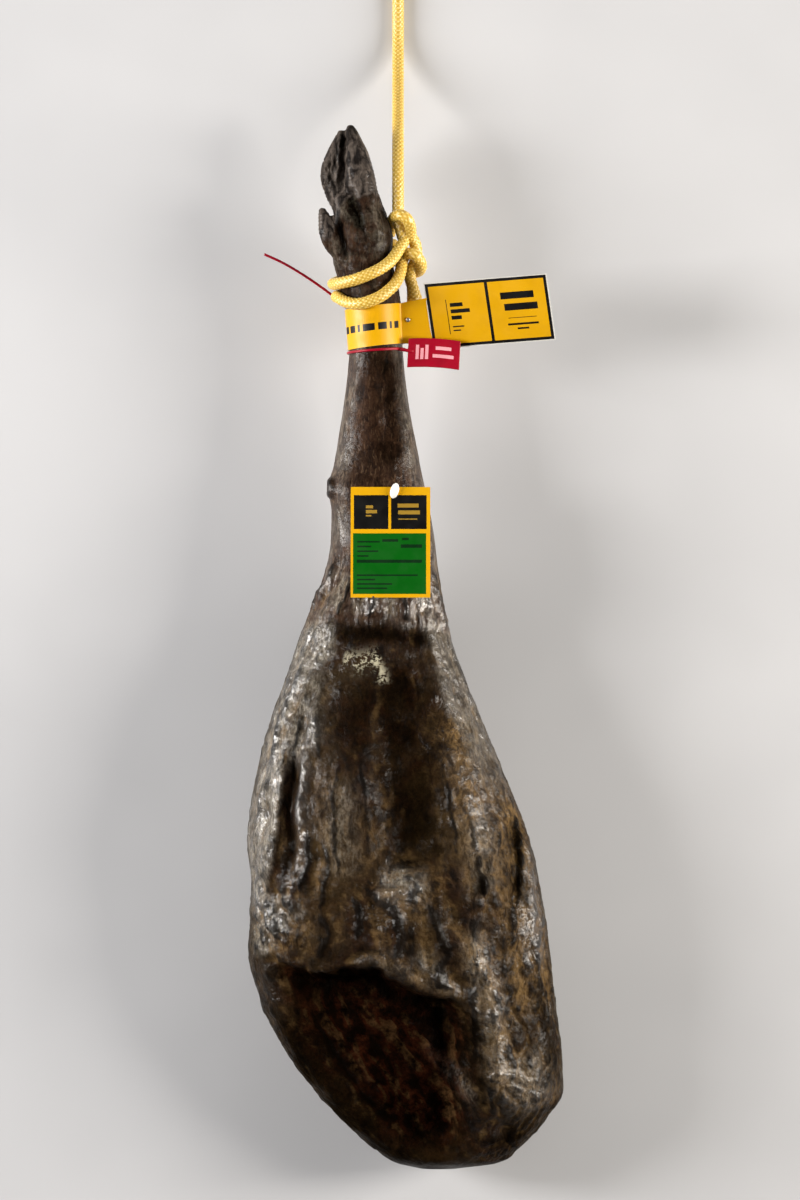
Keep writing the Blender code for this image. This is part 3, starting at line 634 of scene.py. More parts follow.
def meat_gloss(p, shine, dark_and_shade, hollow, skin, bloom):
    """Grease: strongest where `shine` says, dull on the skin, gone in the painted shade and darkened places,
    the hollow and mouldy parts.
    """
    patches = p.between(p.noise(34, 5, 0.6), 0.42, 0.64, 0.02, 0.24)
    streaks = p.times(shine, p.between(p.noise(70, 4, 0.6), 0.3, 0.56, 0.15, 1.0))
    grease = p.plus(patches, p.times(streaks, 0.9), clamp=True)
    dull_skin = p.times(skin, p.between(shine, 0.55, 0.95, 1.0, 0.0))
    grease = p.times(grease, p.between(dull_skin, 0, 1, 1.0, 0.5))
    dry = p.between(p.plus(dark_and_shade, hollow), 0.15, 0.85, 1.0, 0.05)
    clear = p.between(bloom, 0.1, 0.6, 1.0, 0.0)
    p.put(p.shader.inputs["Coat Weight"], p.times(p.times(grease, dry), clear))
    ripples = p.noise(90, 5, 0.55, bend=0.9)
    ripple_strength = p.between(dull_skin, 0, 1, 0.62, 0.26)
    p.put(p.shader.inputs["Coat Normal"], p.bump(ripples, 0.005, ripple_strength))
    gleam = p.plus(0.03, p.times(streaks, 0.22))
    p.put(p.shader.inputs["Specular IOR Level"], p.times(gleam, dry))


def meat_paint():
    """Dry skin, deep brown lean, fatty rind and mould, with painted shade and highlights, laid out by the
    tones stored on the mesh.
    """
    p = Paint("cured_meat")
    fat_and_highlight, dark_and_shade, mould, skin = p.tones("cover")
    rim_and_shade, ridge, hollow, horn = p.tones("form")
    shine, bronze_and_glints, _, _ = p.tones("shine")
    fibre = p.noise(1.0, 6, 0.62, p.stretch((190, 84, 190)), 0.9)
    thin_fibre = p.noise(1.0, 5, 0.6, p.stretch((560, 150, 560)), 0.5)
    blotch = p.noise(24, 5, 0.6)
    mottle = p.noise(85, 5, 0.65)
    speck = p.noise(420, 4, 0.6)
    base = lean_colours(p, skin, rim_and_shade, bronze_and_glints, hollow, fibre, thin_fibre, blotch, mottle, speck)
    # Pale fatty rind, and painted highlights from the same layer
    pale = p.grade(fibre, 0.34, 0.62, srgb(66, 61, 52), srgb(138, 131, 118))
    fat_and_highlight_share = p.times(fat_and_highlight, p.between(p.plus(thin_fibre, mottle), 0.84, 1.1, 0.22, 1.0))
    base = p.mix(fat_and_highlight_share, base, pale)
    base = meat_shades(p, base, ridge, hollow, dark_and_shade, mottle, speck)
    bloom = p.times(mould, p.between(p.plus(speck, mottle), 0.97, 1.12))
    base = p.mix(bloom, base, srgb(178, 172, 148))
    growth = p.noise(1.0, 5, 0.6, p.stretch((210, 90, 210)), 0.6)
    nail = p.grade(growth, 0.35, 0.7, srgb(22, 18, 16), srgb(92, 83, 76))
    base = p.mix(horn, base, nail)
    wet = p.between(p.noise(60, 4, 0.6), 0.35, 0.7, 0.34, 0.5)
    rough = p.plus(wet, p.times(bloom, 0.35), clamp=True)
    knurl = p.bump(p.noise(165, 8, 0.64, bend=1.1), 0.003, p.between(skin, 0, 1, 0.8, 0.3))
    normal = p.bump(fibre, 0.0018, p.between(skin, 0, 1, 0.6, 0.35), knurl)
    normal = p.bump(p.noise(1.0, 6, 0.65, p.stretch((820, 420, 820))), 0.0005, 0.6, normal)
    normal = p.bump(speck, 0.0004, 0.45, normal)
    meat_gloss(p, shine, dark_and_shade, hollow, skin, bloom)
    return p.finish(base, rough, normal, Coat_Roughness=0.11)


def rope_paint():
    """Shiny yellow-gold braid, with painted shade between its strands and painted highlights on their
    crowns.
    """
    p = Paint("rope")
    height, fibre, family, _ = p.tones("braid")
    # Painted shade between the strands
    crevice_shaded = p.grade(height, 0.02, 0.46, srgb(118, 78, 14), srgb(212, 174, 70))
    # Painted highlight on the strands' crowns
    lit = p.mix(p.between(height, 0.6, 1.0), crevice_shaded, srgb(250, 230, 150))
    base = p.mix(p.times(fibre, 0.3), lit, srgb(190, 146, 50))
    base = p.mix(p.times(p.between(p.noise(45, 3), 0.4, 0.7), 0.2), base, srgb(196, 150, 44))
    normal = p.bump(fibre, 0.0002, 0.6)
    rough = p.between(family, 0, 1, 0.27, 0.36)
    return p.finish(base, rough, normal, Specular_IOR_Level=0.65)


def card_paint(name, colour, dusk, roughness=0.38):
    """Coated card with a faint fleck and handling marks."""
    p = Paint(name)
    marks = p.between(p.noise(38, 5, 0.6), 0.45, 0.75, 0, 0.35)
    base = p.mix(marks, colour, dusk)
    fleck = p.noise(1500, 3, 0.6)
    base = p.mix(p.between(fleck, 0.5, 0.75, 0, 0.12), base, dusk)
    rough = p.between(p.noise(90, 4), 0.3, 0.7, roughness - 0.07, roughness + 0.1)
    return p.finish(base, rough, p.bump(fleck, 0.00008, 0.4), Specular_IOR_Level=0.22)


def plastic_paint(name, colour, dusk, roughness, depth=0.05):
    """Moulded plastic with slight cloudiness and fine scuffs."""
    p = Paint(name)
    cloud = p.between(p.noise(70, 4, 0.6), 0.4, 0.75, 0, 0.4)
    base = p.mix(cloud, colour, dusk)
    scuff = p.noise(420, 4, 0.6)
    rough = p.between(scuff, 0.35, 0.7, roughness, roughness + 0.12)
    return p.finish(base, rough, p.bump(scuff, depth * MM, 0.3), Specular_IOR_Level=0.3)


def steel_paint():
    """Brushed steel with a fine grain."""
    p = Paint("steel")
    grain = p.noise(900, 4, 0.6)
    base = p.grade(grain, 0.35, 0.7, srgb(150, 150, 154), srgb(196, 196, 198))
    rough = p.between(grain, 0.3, 0.7, 0.28, 0.42)
    return p.finish(base, rough, p.bump(grain, 0.00003, 0.5), Metallic=1.0)


# The ham

# The body's rings end under the band, a little past where the foot's begin
BODY_END = 648
FOOT_START = 641
SHOWN_SIDES, HIDDEN_SIDES = 172, 76
BLUR_PASSES = 8
# Where the fat of both flanks ends: (s, x)
LEFT_FAT_EDGE = [
    (190, -104), (230, -100), (270, -93), (310, -89), (352, -81), (379, -68), (400, -50), (430, -50),
]
RIGHT_FAT_EDGE = [(240, 96), (283, 68), (306, 57), (333, 47), (356, 35), (389, 28), (413, 18)]
# What lies on the shown side, painted shade and highlights among it: strength, half width, path as (x, s)
# Pale fatty rind, and painted highlights on fold ridges, crumpled places, the ridge wall and the wrinkles
# under the label
FAT_AND_HIGHLIGHT_MARKS = [
    (0.9, 10, [(-62, 398), (-70, 366), (-78, 330), (-82, 300)]),
    (0.8, 7, [(-66, 362), (-67, 340), (-68, 322)]),
    (1.0, 9, [(-18, 226), (2, 222), (26, 224)]),
    (0.8, 7, [(-6, 236), (4, 228), (12, 218)]),
    (1.0, 13, [(-104, 212), (-96, 196), (-84, 184)]),
    (0.9, 8, [(-110, 196), (-106, 178), (-98, 166)]),
    (0.6, 8, [(66, 206), (54, 174), (63, 138), (70, 94), (76, 52)]),
    (0.45, 18, [(86, 96), (96, 74), (98, 50)]),
    (0.25, 4.5, [(-44, 166), (-19, 167), (-1, 158), (20, 148), (42, 140), (54, 132)]),
    (0.4, 6, [(26, 118), (29, 90), (46, 70), (66, 48)]),
    (0.4, 9, [(72, 92), (84, 74), (96, 58), (98, 40)]),
    (0.45, 8, [(16, 178), (20, 164), (30, 150)]),
    (0.5, 12, [(-44, 310), (-46, 270), (-42, 220)]),
    (0.45, 12, [(56, 286), (62, 246), (62, 204)]),
    (0.9, 6, [(-38, 462), (-46, 440), (-54, 424)]),
    (0.9, 5, [(-28, 450), (-31, 436), (-35, 422)]),
    (1.0, 5, [(-10, 450), (-8, 434), (-7, 418)]),
    (0.8, 5, [(14, 452), (18, 436), (24, 418)]),
    (0.9, 6, [(28, 476), (34, 450), (42, 420)]),
]
# Painted shade in grooves, slits, beside the ridge and along the butt's edge, with a few darker places:
# strength, half width, path as (x, s)
DARK_AND_SHADE_MARKS = [
    (0.9, 11, [(-78, 140), (-60, 104), (-36, 66), (-8, 38), (24, 24)]),
    (0.8, 9, [(60, 128), (66, 100), (60, 70), (62, 44)]),
    (0.7, 8, [(-26, 116), (-10, 92), (10, 66)]),
    (1.0, 6, [(86, 276), (90, 244), (90, 212), (86, 192)]),
    (1.0, 4.5, SMALL_SLIT),
    (0.7, 7, [(104, 150), (110, 112), (118, 74)]),
    (0.9, 5, [(-82, 330), (-80, 300), (-85, 278), (-81, 249), (-88, 216)]),
    (1.0, 14, [(-13, 646), (-10, 600), (-8, 560), (-6, 522)]),
    (0.55, 6, [(-57, 392), (-58, 366), (-62, 334)]),
    (1.0, 2.4, HOCK_NICK),
    (0.6, 9, [(-14, 540), (-24, 500), (-34, 470)]),
    (0.6, 7, [(108, 120), (114, 90), (112, 60)]),
    (0.7, 9, [(60, 22), (84, 24), (98, 36)]),
    (0.95, 18, [(-98, 152), (-90, 116), (-66, 78), (-34, 40), (0, 20), (44, 16), (76, 22)]),
    (0.5, 16, [(-96, 168), (-70, 172), (-44, 180)]),
]
SHINE_MARKS = [
    (1.0, 16, [(-44, 436), (-20, 433), (8, 433), (36, 430)]),
    (1.0, 7, LEFT_FOLD),
    (1.0, 17, [(-20, 226), (2, 220), (26, 222)]),
    (0.9, 14, [(-106, 214), (-98, 196), (-84, 182)]),
    (1.0, 10, [(54, 190), (58, 168), (64, 138), (72, 98), (82, 66), (96, 40)]),
    (0.8, 14, [(84, 90), (98, 66), (104, 44)]),
    (0.8, 8, [(92, 262), (99, 228), (102, 190), (104, 150)]),
    (0.6, 8, [(20, 110), (28, 84), (46, 66)]),
    (0.7, 7, LIP_EDGE),
    (0.5, 14, [(40, 330), (54, 286), (60, 240)]),
]
# A lighter warm tone with painted glints on the ridge, knob, flanks and lip: strength, half width, path as
# (x, s)
BRONZE_AND_GLINT_MARKS = [
    (0.85, 15, [(34, 362), (40, 335), (47, 300), (56, 262), (62, 226)]),
    (0.7, 16, [(74, 300), (84, 262), (92, 220)]),
    (0.55, 22, [(84, 236), (92, 196), (98, 150), (104, 110)]),
    (1.0, 10, [(52, 196), (58, 168), (64, 138), (72, 98), (80, 66), (88, 44)]),
    (0.6, 16, [(84, 96), (98, 70), (104, 44)]),
    (0.4, 12, [(-50, 312), (-55, 268), (-52, 214)]),
    (0.3, 10, [(-24, 290), (-22, 262), (-24, 230)]),
    (0.6, 20, [(-12, 240), (6, 222), (30, 206)]),
    (0.6, 7, LIP_EDGE),
    (0.5, 10, [(22, 120), (28, 88), (46, 68)]),
    (0.4, 12, [(-60, 186), (-84, 180), (-104, 172)]),
]


def body_stations():
    """Where the rings stand: close over the body, wider on the leg."""
    steps = [(0, 0.5), (10, 1.2), (30, 1.7), (430, 1.8), (520, 2.3), (648, 2.6)]
    found = [0.0]
    while found[-1] < BODY_END - 1:
        found.append(found[-1] + float(profile(steps, found[-1])))
    found[-1] = BODY_END
    return np.array(found)


def marked(base, marks, x, s, ends, share=1.0):
    """The base with marks laid over it, each as (strength, half width, path)."""
    for strength, width, path in marks:
        base = np.maximum(base, strength * share * stroke(path, x, s, width, ends))
    return base


def fat_places(x, s, patchy):
    """Where fatty skin lies on the left flank and on the right one, 0 to 1."""
    left = fade((profile(LEFT_FAT_EDGE, s) - x + 3 * patchy) / 7 + 0.5)
    right = fade((x - profile(RIGHT_FAT_EDGE, s) + 4 * patchy) / 9 + 0.5)
    left = left * fade((s - 175) / 50) * fade((430 - s) / 20)
    return left, right * fade((s - 270) / 70) * fade((440 - s) / 25)


def dark_and_shade_places(x, s, patchy):
    """Painted shade on the shown side, nearly black: the trough, a band under the arch, under the lip, and
    the marked grooves and darker places.
    """
    dark_and_shade = 0.9 * stroke([(0, 410), (2, 350), (8, 300), (13, 255), (16, 218)], x, s, 30, 0.2)
    dark_and_shade = np.maximum(dark_and_shade, 0.7 * stroke([(-24, 398), (-30, 350), (-34, 300)], x, s, 26, 0.3))
    dark_and_shade = np.maximum(dark_and_shade, 1.0 * stroke([(0, 304), (6, 270), (11, 244), (14, 226)], x, s, 17, 0.2))
    below_arch = s - profile(SKIN_ARCH, x) + 9 + 4 * patchy
    dark_and_shade = np.maximum(dark_and_shade, np.exp(-((below_arch / 9) ** 2)) * fade((48 - np.abs(x + 12)) / 22))
    below_lip = profile(LIP, x) - s - 16
    under_lip = np.exp(-((below_lip / 13) ** 2)) * fade((x + 105) / 30) * fade((68 - x) / 14)
    dark_and_shade = np.maximum(dark_and_shade, 0.95 * under_lip)
    return marked(dark_and_shade, DARK_AND_SHADE_MARKS, x + 2 * patchy, s, 0.25)


def cover_tones(x, s, z, up, form):
    """What lies on each point, painted shade and highlights among it: the values of the `cover`, `form` and
    `shine` layers.
    """
    shown = fade((up + 0.05) / 0.35)
    patchy = layered(x / 16, s / 22, z / 16, 3, 41)
    shifted = x + 2 * patchy
    skin = skin_share(x, s)
    hollow = hollow_share(x, s) * shown
    left_fat, right_fat = fat_places(x, s, patchy)
    left, right = profile(LEFT, s), profile(RIGHT, s)
    out = np.abs(x - (left + right) / 2) / ((right - left) / 2)
    edge_highlight = skin * shown * fade((out - 0.5) / 0.35)
    gathered = np.exp(-(((s - 440) / 20) ** 2)) * 0.45 * shown
    # Pale fatty rind, and painted highlights from the marks
    fat_and_highlight = marked(np.maximum(0.95 * left_fat, 0.6 * right_fat) * shown, FAT_AND_HIGHLIGHT_MARKS, shifted, s, 0.3, shown)
    # Painted highlight: pale along both edges of the shank's skin
    fat_and_highlight = np.maximum(fat_and_highlight, 0.55 * edge_highlight * fade(0.6 + patchy))
    # Painted highlight: pale on the gathered skin under the label
    fat_and_highlight = np.maximum(fat_and_highlight, gathered * fade(0.5 + patchy))
    fat_and_highlight *= 1 - 0.8 * hollow * fade((60 - x) / 20)
    # Painted shade and darker places, broken into patches
    dark_and_shade = dark_and_shade_places(x, s, patchy) * shown * fade(0.85 + 0.6 * patchy)
    mould = np.maximum(
        stroke([(-44, 391), (-30, 389), (-13, 393)], x, s, 6, 0.1),
        stroke([(-20, 392), (-14, 382), (-12, 372)], x, s, 3.6, 0.15),
    )
    mould = np.maximum(mould * shown, 0.14 * (1 - shown) * fade(0.7 + 1.3 * patchy))
    # The butt's left rim, the lower right side and the underside, darkened as painted shade
    rim_and_shade = fade((26 - (x - left)) / 16) * fade((200 - s) / 30)
    rim_and_shade = np.maximum(rim_and_shade, 0.75 * fade((x - 66) / 18) * fade((290 - s) / 50))
    rim_and_shade = np.maximum(rim_and_shade, 0.5 * (1 - shown) * (1 - skin))
    shine = np.maximum(np.maximum(left_fat, 0.7 * right_fat), 0.5 * edge_highlight)
    shine = marked(shine, SHINE_MARKS, shifted, s, 0.2) * shown * (1 - 0.85 * dark_and_shade)
    # Where the lighter warm tone and painted glints go
    bronze_and_glints = marked(0 * x, BRONZE_AND_GLINT_MARKS, shifted, s, 0.2) * shown * (1 - 0.6 * hollow)
    return (fat_and_highlight, dark_and_shade, mould, skin), (rim_and_shade, form, hollow, 0 * x), (shine, bronze_and_glints, 0 * x, 0 * x)


def body_grid():
    """Rings of the main form, closer together on the shown side, and how far up each point faces."""
    over = np.linspace(0, math.pi, SHOWN_SIDES, endpoint=False)
    under = np.linspace(math.pi, 2 * math.pi, HIDDEN_SIDES, endpoint=False)
    angles = np.concatenate([over, under])[None, :]
    s = body_stations()[:, None]
    return section_grid(s, angles), np.sin(angles) + 0 * s


def blurred(heights):
    """The heights of a grid of closed rings, averaged over their surroundings."""
    for _ in range(BLUR_PASSES):
        heights = (np.roll(heights, 2, 1) + np.roll(heights, -2, 1) + heights) / 3
        ends = np.concatenate([heights[:1], heights, heights[-1:]])
        heights = (ends[2:] + ends[:-2] + heights) / 3
    return heights


def make_body(paint):
    """The ham from butt to ankle, as rings with the main forms and then the fine relief."""
    grid, up = body_grid()
    rise = fine_relief(grid[..., 0], grid[..., 1], grid[..., 2], up)
    rise *= fade(grid[..., 1] / 12) * fade((BODY_END - grid[..., 1]) / 18)
    resting = fade((grid[..., 2] - 0.2) / 6)
    outer = fade(1 - (np.abs(up) / 0.2)) * 0.65
    rise = rise * resting * (1 - outer * (rise > 0))
    grid = grid + grid_normals(grid) * rise[..., None]
    grid[..., 2] = np.maximum(grid[..., 2], 0)
    # Crests above 0.5 and grooves below it, for painted highlights on crests and painted shade in grooves
    form = np.clip(0.5 + 0.34 * (rise - blurred(rise)), 0, 1)
    points, faces = capped(grid)
    body = face_out(mesh_of("ham_body", points, faces, [paint]))
    x, at, z = points.T
    ups = np.append(up.reshape(-1), [0.5, 0.5])
    forms = np.append(form.reshape(-1), [0.5, 0.5])
    for name, channels in zip(("cover", "form", "shine"), cover_tones(x, at, z, ups, forms)):
        set_tones(body, name, channels)
    return body


# The claws from root to tip: (x, s, z, half width, half height)
CLAW_NEAR = [
    (-28, 722, 76, 9, 10), (-27.5, 738, 77, 11.6, 14), (-29.8, 752, 77, 12.2, 14.4),
    (-31.6, 766, 76, 11, 13), (-33.2, 777, 75, 9.4, 11), (-35.2, 786, 74, 7.2, 8.6),
    (-37.0, 794, 73, 4.8, 6), (-38.0, 799.4, 72.4, 2.2, 3.2),
]
CLAW_FAR = [
    (-40, 724, 63, 9, 9), (-43.5, 738, 62, 8.8, 11), (-47.7, 748, 62.5, 9.9, 12),
    (-50.4, 759, 63.5, 10.8, 13), (-49.9, 768, 64, 10.5, 12.6), (-47.2, 779, 65.5, 9.0, 10.4),
    (-44.8, 789, 68, 6.0, 6.8), (-43.9, 795.4, 69.5, 2.9, 3.2),
]
DEWCLAW_NEAR = [
    (-44, 696, 80, 6, 6), (-50.5, 706, 82, 7.2, 7), (-54, 715, 83, 7.4, 6.8), (-56, 724, 83, 6.2, 5.6),
    (-58.2, 731, 82.5, 4, 3.8), (-59.6, 735.6, 82, 1.8, 1.8),
]
DEWCLAW_FAR = [
    (-42, 700, 63, 6, 6), (-47, 708, 61, 6.4, 6), (-50, 717, 60, 6, 5.6), (-52, 725, 60, 4.4, 4.2),
    (-53, 731, 60, 1.6, 1.6),
]
HORN_START = 742
HORN_SIDES, HORN_RINGS = 40, 26
HORN_SQUARE = 0.86
PASTERN_END = 752
PASTERN_SIDES, PASTERN_RINGS = 96, 60
FOOT_VOXEL = 0.85 * MM
# Creases and ridges of the foot: height, half width, path as (x, s)
FOOT_CREASES = [
    (-3.2, 2.2, CLAW_NICK),
    (1.6, 1.6, [(-45.4, 797), (-46.4, 780), (-47.6, 766), (-50, 752)]),
    (-2.6, 1.8, [(-43.2, 796), (-43.6, 778), (-44, 762), (-46, 750)]),
    (-3.4, 5.5, [(-42, 752), (-37, 740), (-32, 727), (-31, 717)]),
    (2.4, 2.8, [(-50, 752), (-46, 741), (-40, 729), (-34, 720)]),
    (-2.0, 1.8, [(-40, 744), (-33, 731), (-28, 716), (-27, 704)]),
    (1.8, 2.4, [(-31, 716), (-27, 708), (-30, 699)]),
    (-2.6, 2.2, [(-44, 728), (-46, 718), (-43, 706), (-40, 694)]),
    (2.0, 3.0, [(-50, 716), (-48, 710), (-47, 700), (-46, 690)]),
    (-1.6, 1.5, [(-58, 766), (-59, 757), (-56, 748)]),
    (-1.4, 1.4, [(-49.5, 776), (-50.4, 764), (-50, 756)]),
    (1.0, 2.0, [(-24, 762), (-30, 763), (-38, 761)]),
    (-1.0, 1.2, [(-22, 757), (-29, 758), (-38, 756)]),
]
# Painted highlights on the foot's ridges and painted shade in its creases and cleft: strength, half width,
# path as (x, s)
FOOT_HIGHLIGHTS = [
    (0.7, 3.5, [(-50, 748), (-44, 736), (-36, 722)]),
    (0.6, 2.2, [(-46, 788), (-47, 772), (-49, 760)]),
    (0.6, 4, [(-49, 717), (-47, 700), (-46, 688)]),
]
FOOT_SHADE_MARKS = [
    (0.95, 7, [(-42, 754), (-37, 740), (-32, 726), (-31, 712)]),
    (0.9, 2.6, CLAW_NICK),
    (0.8, 2.0, [(-43.2, 797), (-43.6, 778), (-44, 762)]),
]


def horn_rings(path):
    """Rings of a claw whose width and height run smoothly along its path."""
    path = np.array(path, float)
    where = np.linspace(0, 1, len(path))
    fine = 1 - (1 - np.linspace(0, 1, HORN_RINGS)) ** 1.25
    along = [profile(list(zip(where, column)), fine) for column in path.T]
    turn = full_turn(HORN_SIDES)
    x, s, z, wide, high = (column[:, None] for column in along)
    across = np.sign(np.cos(turn)) * np.abs(np.cos(turn)) ** HORN_SQUARE
    up = np.sign(np.sin(turn)) * np.abs(np.sin(turn)) ** HORN_SQUARE
    return np.stack(np.broadcast_arrays(x + wide * across, s + 0 * across, z + high * up), axis=-1)


def grown_foot(paint):
    """Pastern, claws and dewclaws grown together into one smooth mesh."""
    stations = np.linspace(FOOT_START, PASTERN_END, PASTERN_RINGS)[:, None]
    pastern = section_grid(stations, full_turn(PASTERN_SIDES)[None, :])
    parts = [pastern, *(horn_rings(path) for path in (CLAW_NEAR, CLAW_FAR, DEWCLAW_NEAR, DEWCLAW_FAR))]
    points, faces, start = [], [], 0
    for part in parts:
        some, more = capped(part)
        points.append(some)
        faces += [tuple(int(i) + start for i in f) for f in more]
        start += len(some)
    foot = face_out(mesh_of("ham_foot", np.concatenate(points), faces, [paint]))
    remesh = foot.modifiers.new("grow", "REMESH")
    remesh.mode = "VOXEL"
    remesh.voxel_size = FOOT_VOXEL
    blend = foot.modifiers.new("soften", "SMOOTH")
    blend.factor = 0.5
    blend.iterations = 7
    bpy.context.view_layer.update()
    mesh = bpy.data.meshes.new_from_object(foot.evaluated_get(bpy.context.evaluated_depsgraph_get()))
    foot.modifiers.clear()
    foot.data = mesh
    mesh.materials.clear()
    mesh.materials.append(paint)
    return foot


def read_vectors(items, name):
    """A vector of every item of a mesh, such as its points' places."""
    flat = np.zeros(len(items) * 3)
    items.foreach_get(name, flat)
    return flat.reshape(-1, 3)


def foot_shares(x, s, z):
    """Shares of horn, sole, split ends and worn far claw at each point of the foot, 0 to 1."""
    horn = fade((s - HORN_START - 4 * noise(x / 6, 0 * s, z / 6, 51)) / 5)
    horn = np.maximum(horn, fade((-50.5 - x + 0.35 * (s - 712)) / 3) * fade((s - 708) / 6))
    sole = fade((-46 - x) / 3) * fade((s - HORN_START) / 6)
    split = fade((s - HORN_START) / 8) * np.clip(noise(x / 3.2, s / 22, z / 3.2, 57) - 0.3, 0, 1)
    return horn, sole, split, fade((-42 - x) / 4)


def foot_relief(x, s, z, lumps, facing, horn, sole, split, worn):
    """Height of wrinkles, growth rings, cracks and creases on the foot."""
    rings = np.sin(s * 2.1 + 3 * noise(x / 9, s / 9, z / 9, 52))
    skin_wrinkle = 1 - np.abs(noise(x / 5, s / 16, z / 5, 53)) * 2
    cross_wrinkle = 1 - np.abs(noise(x / 14, s / 4.2, z / 14, 54)) * 2
    rise = (1 - horn) * (0.32 * skin_wrinkle + 0.2 * cross_wrinkle + 0.75 * lumps)
    rise += horn * (0.2 * rings * fade((772 - s) / 16) + 0.35 * lumps)
    rise += 0.9 * np.exp(-(((s - HORN_START) / 4.5) ** 2)) * fade((x + 60) / 4)
    rise -= 4.5 * sole * np.clip(noise(x / 4, s / 9, z / 5, 56) - 0.18, 0, 1)
    rise -= (0.5 + 1.7 * worn) * split
    wander = 1.2 * noise(x / 5, s / 7, 0 * x, 58)
    for height, width, path in FOOT_CREASES:
        rise += height * facing * stroke(path, x + wander, s, width)
    return rise * fade((s - 664) / 10) * 0.9


def make_foot(paint):
    """The foot with its relief and the tones of skin and horn."""
    foot = grown_foot(paint)
    mesh = foot.data
    place = read_vectors(mesh.vertices, "co")
    normals = read_vectors(mesh.vertex_normals, "vector")
    x, s, z = (place / MM - (PLUMB_X, -LENGTH / 2, 0)).T
    lumps = layered(x / 8, s / 10, z / 8, 4, 55)
    facing = fade((normals[:, 2] + 0.25) / 0.5)
    horn, sole, split, worn = foot_shares(x, s, z)
    rise = foot_relief(x, s, z, lumps, facing, horn, sole, split, worn)
    place = place + normals * (rise * MM)[:, None]
    place[:, 1] = np.minimum(place[:, 1], LENGTH / 2 * MM)
    mesh.vertices.foreach_set("co", place.reshape(-1).astype(np.float32))
    mesh.update()
    mesh.shade_smooth()
    # Painted shade in grooves and cracks, a little painted light on rises
    form = np.clip(0.5 + np.where(rise > 0, 0.07, 0.24) * rise - (0.12 + 0.33 * worn) * split, 0, 1)
    # Painted highlights on lumps, down the pastern and on the ridges
    pale = 0.4 * fade(lumps * 1.4) * (1 - horn) + 0.4 * stroke([(-12, 700), (-17, 725), (-20, 745)], x, s, 5)
    pale = marked(pale, FOOT_HIGHLIGHTS, x, s, 0.2)
    clouds = fade(layered(x / 12, s / 16, z / 12, 3, 59) * 1.6)
    # Painted shade in the sole and creases, and the foot's own dark tone in clouds, darker toward the bottom
    dark_and_shade = marked(0.4 * sole, FOOT_SHADE_MARKS, x, s, 0.2)
    dark_and_shade = np.maximum(dark_and_shade, 0.46 + 0.3 * clouds + 0.3 * fade((60 - z) / 12))
    shine = (0.06 + 0.3 * horn) * facing * fade((z - 70) / 12)
    set_tones(foot, "cover", (pale, dark_and_shade, 0.03 * (1 - horn), 1 - 0 * x))
    set_tones(foot, "form", (0 * x, form, 0 * x, horn))
    set_tones(foot, "shine", (shine, 0 * x, 0 * x, 0 * x))
    return foot


# The rope

TURN_UPPER = [
    (4, 719, 4.2), (9, 711.5, 4.6), (21, 703, 3), (38, 695, 1), (60, 689, 0), (84, 684, 0),
    (112, 679.5, 0), (145, 677.6, 0), (180, 678, 0), (215, 681, 0), (250, 688, 0), (285, 696, 0),
    (315, 705, 0.6), (330, 710, 1.2),
]
TURN_LOWER = [
    (-1, 700.5, 5), (8, 693, 3), (22, 685, 1), (42, 677, 0.4), (64, 670, 0), (82, 665.5, 0),
    (105, 662, 0), (124, 661.6, 0), (145, 664, 0), (162, 667, 0), (180, 668.4, 0), (215, 671, 0),
    (250, 677.5, 0), (285, 686, 0), (310, 693, 0.6), (326, 697.5, 2),
]
ROPE_LIFT = ROPE_RADIUS + 0.1
ROPE_LINE = [
    (-1.5, 732.2, 76), (-1.5, 743, 76.2), (-1.5, 755, 75.2), (-1.5, 767, 72.2), (-1.5, 779, 66.8),
    (-1.5, 791, 59), (-1.5, 803, 49.4), (-1.5, 815, 38.8), (-1.5, 827, 28.2), (-1.5, 839, 19),
    (-1.5, 851, 12), (-1.5, 863, 7.4), (-1.5, 875, 5.1), (-1.5, 887, 4.7), (-1.5, 900, 4.7),
    (-1.5, 913.4, 4.7),
]
# The standing part runs through the collar into the upper turn.
# The end makes the collar, two hitches and a tail.
KNOT_CORE = [(-1.5, 733.5, 76), (-1, 726, 76.4), (0.6, 719, 77), (2.6, 712, 76)]
KNOT_END = [
    (-8, 717, 62), (-6.4, 723.5, 68), (-4.2, 728.5, 78), (0.4, 729.6, 85.6), (5.4, 726.4, 86.6),
    (7.8, 720.6, 81.5), (8.4, 714.6, 76.4), (11.4, 709, 74), (12.6, 702, 72.6), (11.6, 695, 71),
    (8.6, 689, 68), (7.8, 683, 66), (9.4, 676.5, 66), (10.8, 669, 66), (11.4, 664, 66),
]
KNOT_HITCH = [
    (2, 697, 62), (3.2, 699, 70), (6.4, 701, 77.6), (11.4, 699.4, 81), (15.6, 694.4, 76),
    (15.4, 689.4, 68), (11, 687.6, 61.6), (5.4, 690, 59.6),
]
EYE = [
    (-4.5, 921, 6.4), (-9.5, 935, 4.8), (-15, 948, 4.7), (-18, 963, 4.7), (-13.5, 978, 4.7),
    (-1.5, 985, 4.7), (10.5, 978, 4.7), (15, 963, 4.7), (12, 948, 4.7), (6.5, 935, 4.8),
    (1.5, 921, 6.4),
]
EYE_KNOT = [
    (-6, 930.5, 6.5), (-8.4, 925, 9), (-6.5, 920.5, 12.2), (-1.5, 919, 13.2), (3.5, 921, 12),
    (5.4, 925.5, 9), (3, 930, 6.5),
]
STRANDS = 8
BRAID_RISE = 0.62
BRAID_SPACING = 0.6
BRAID_SIDES = 40
FLARE_LENGTH = 14


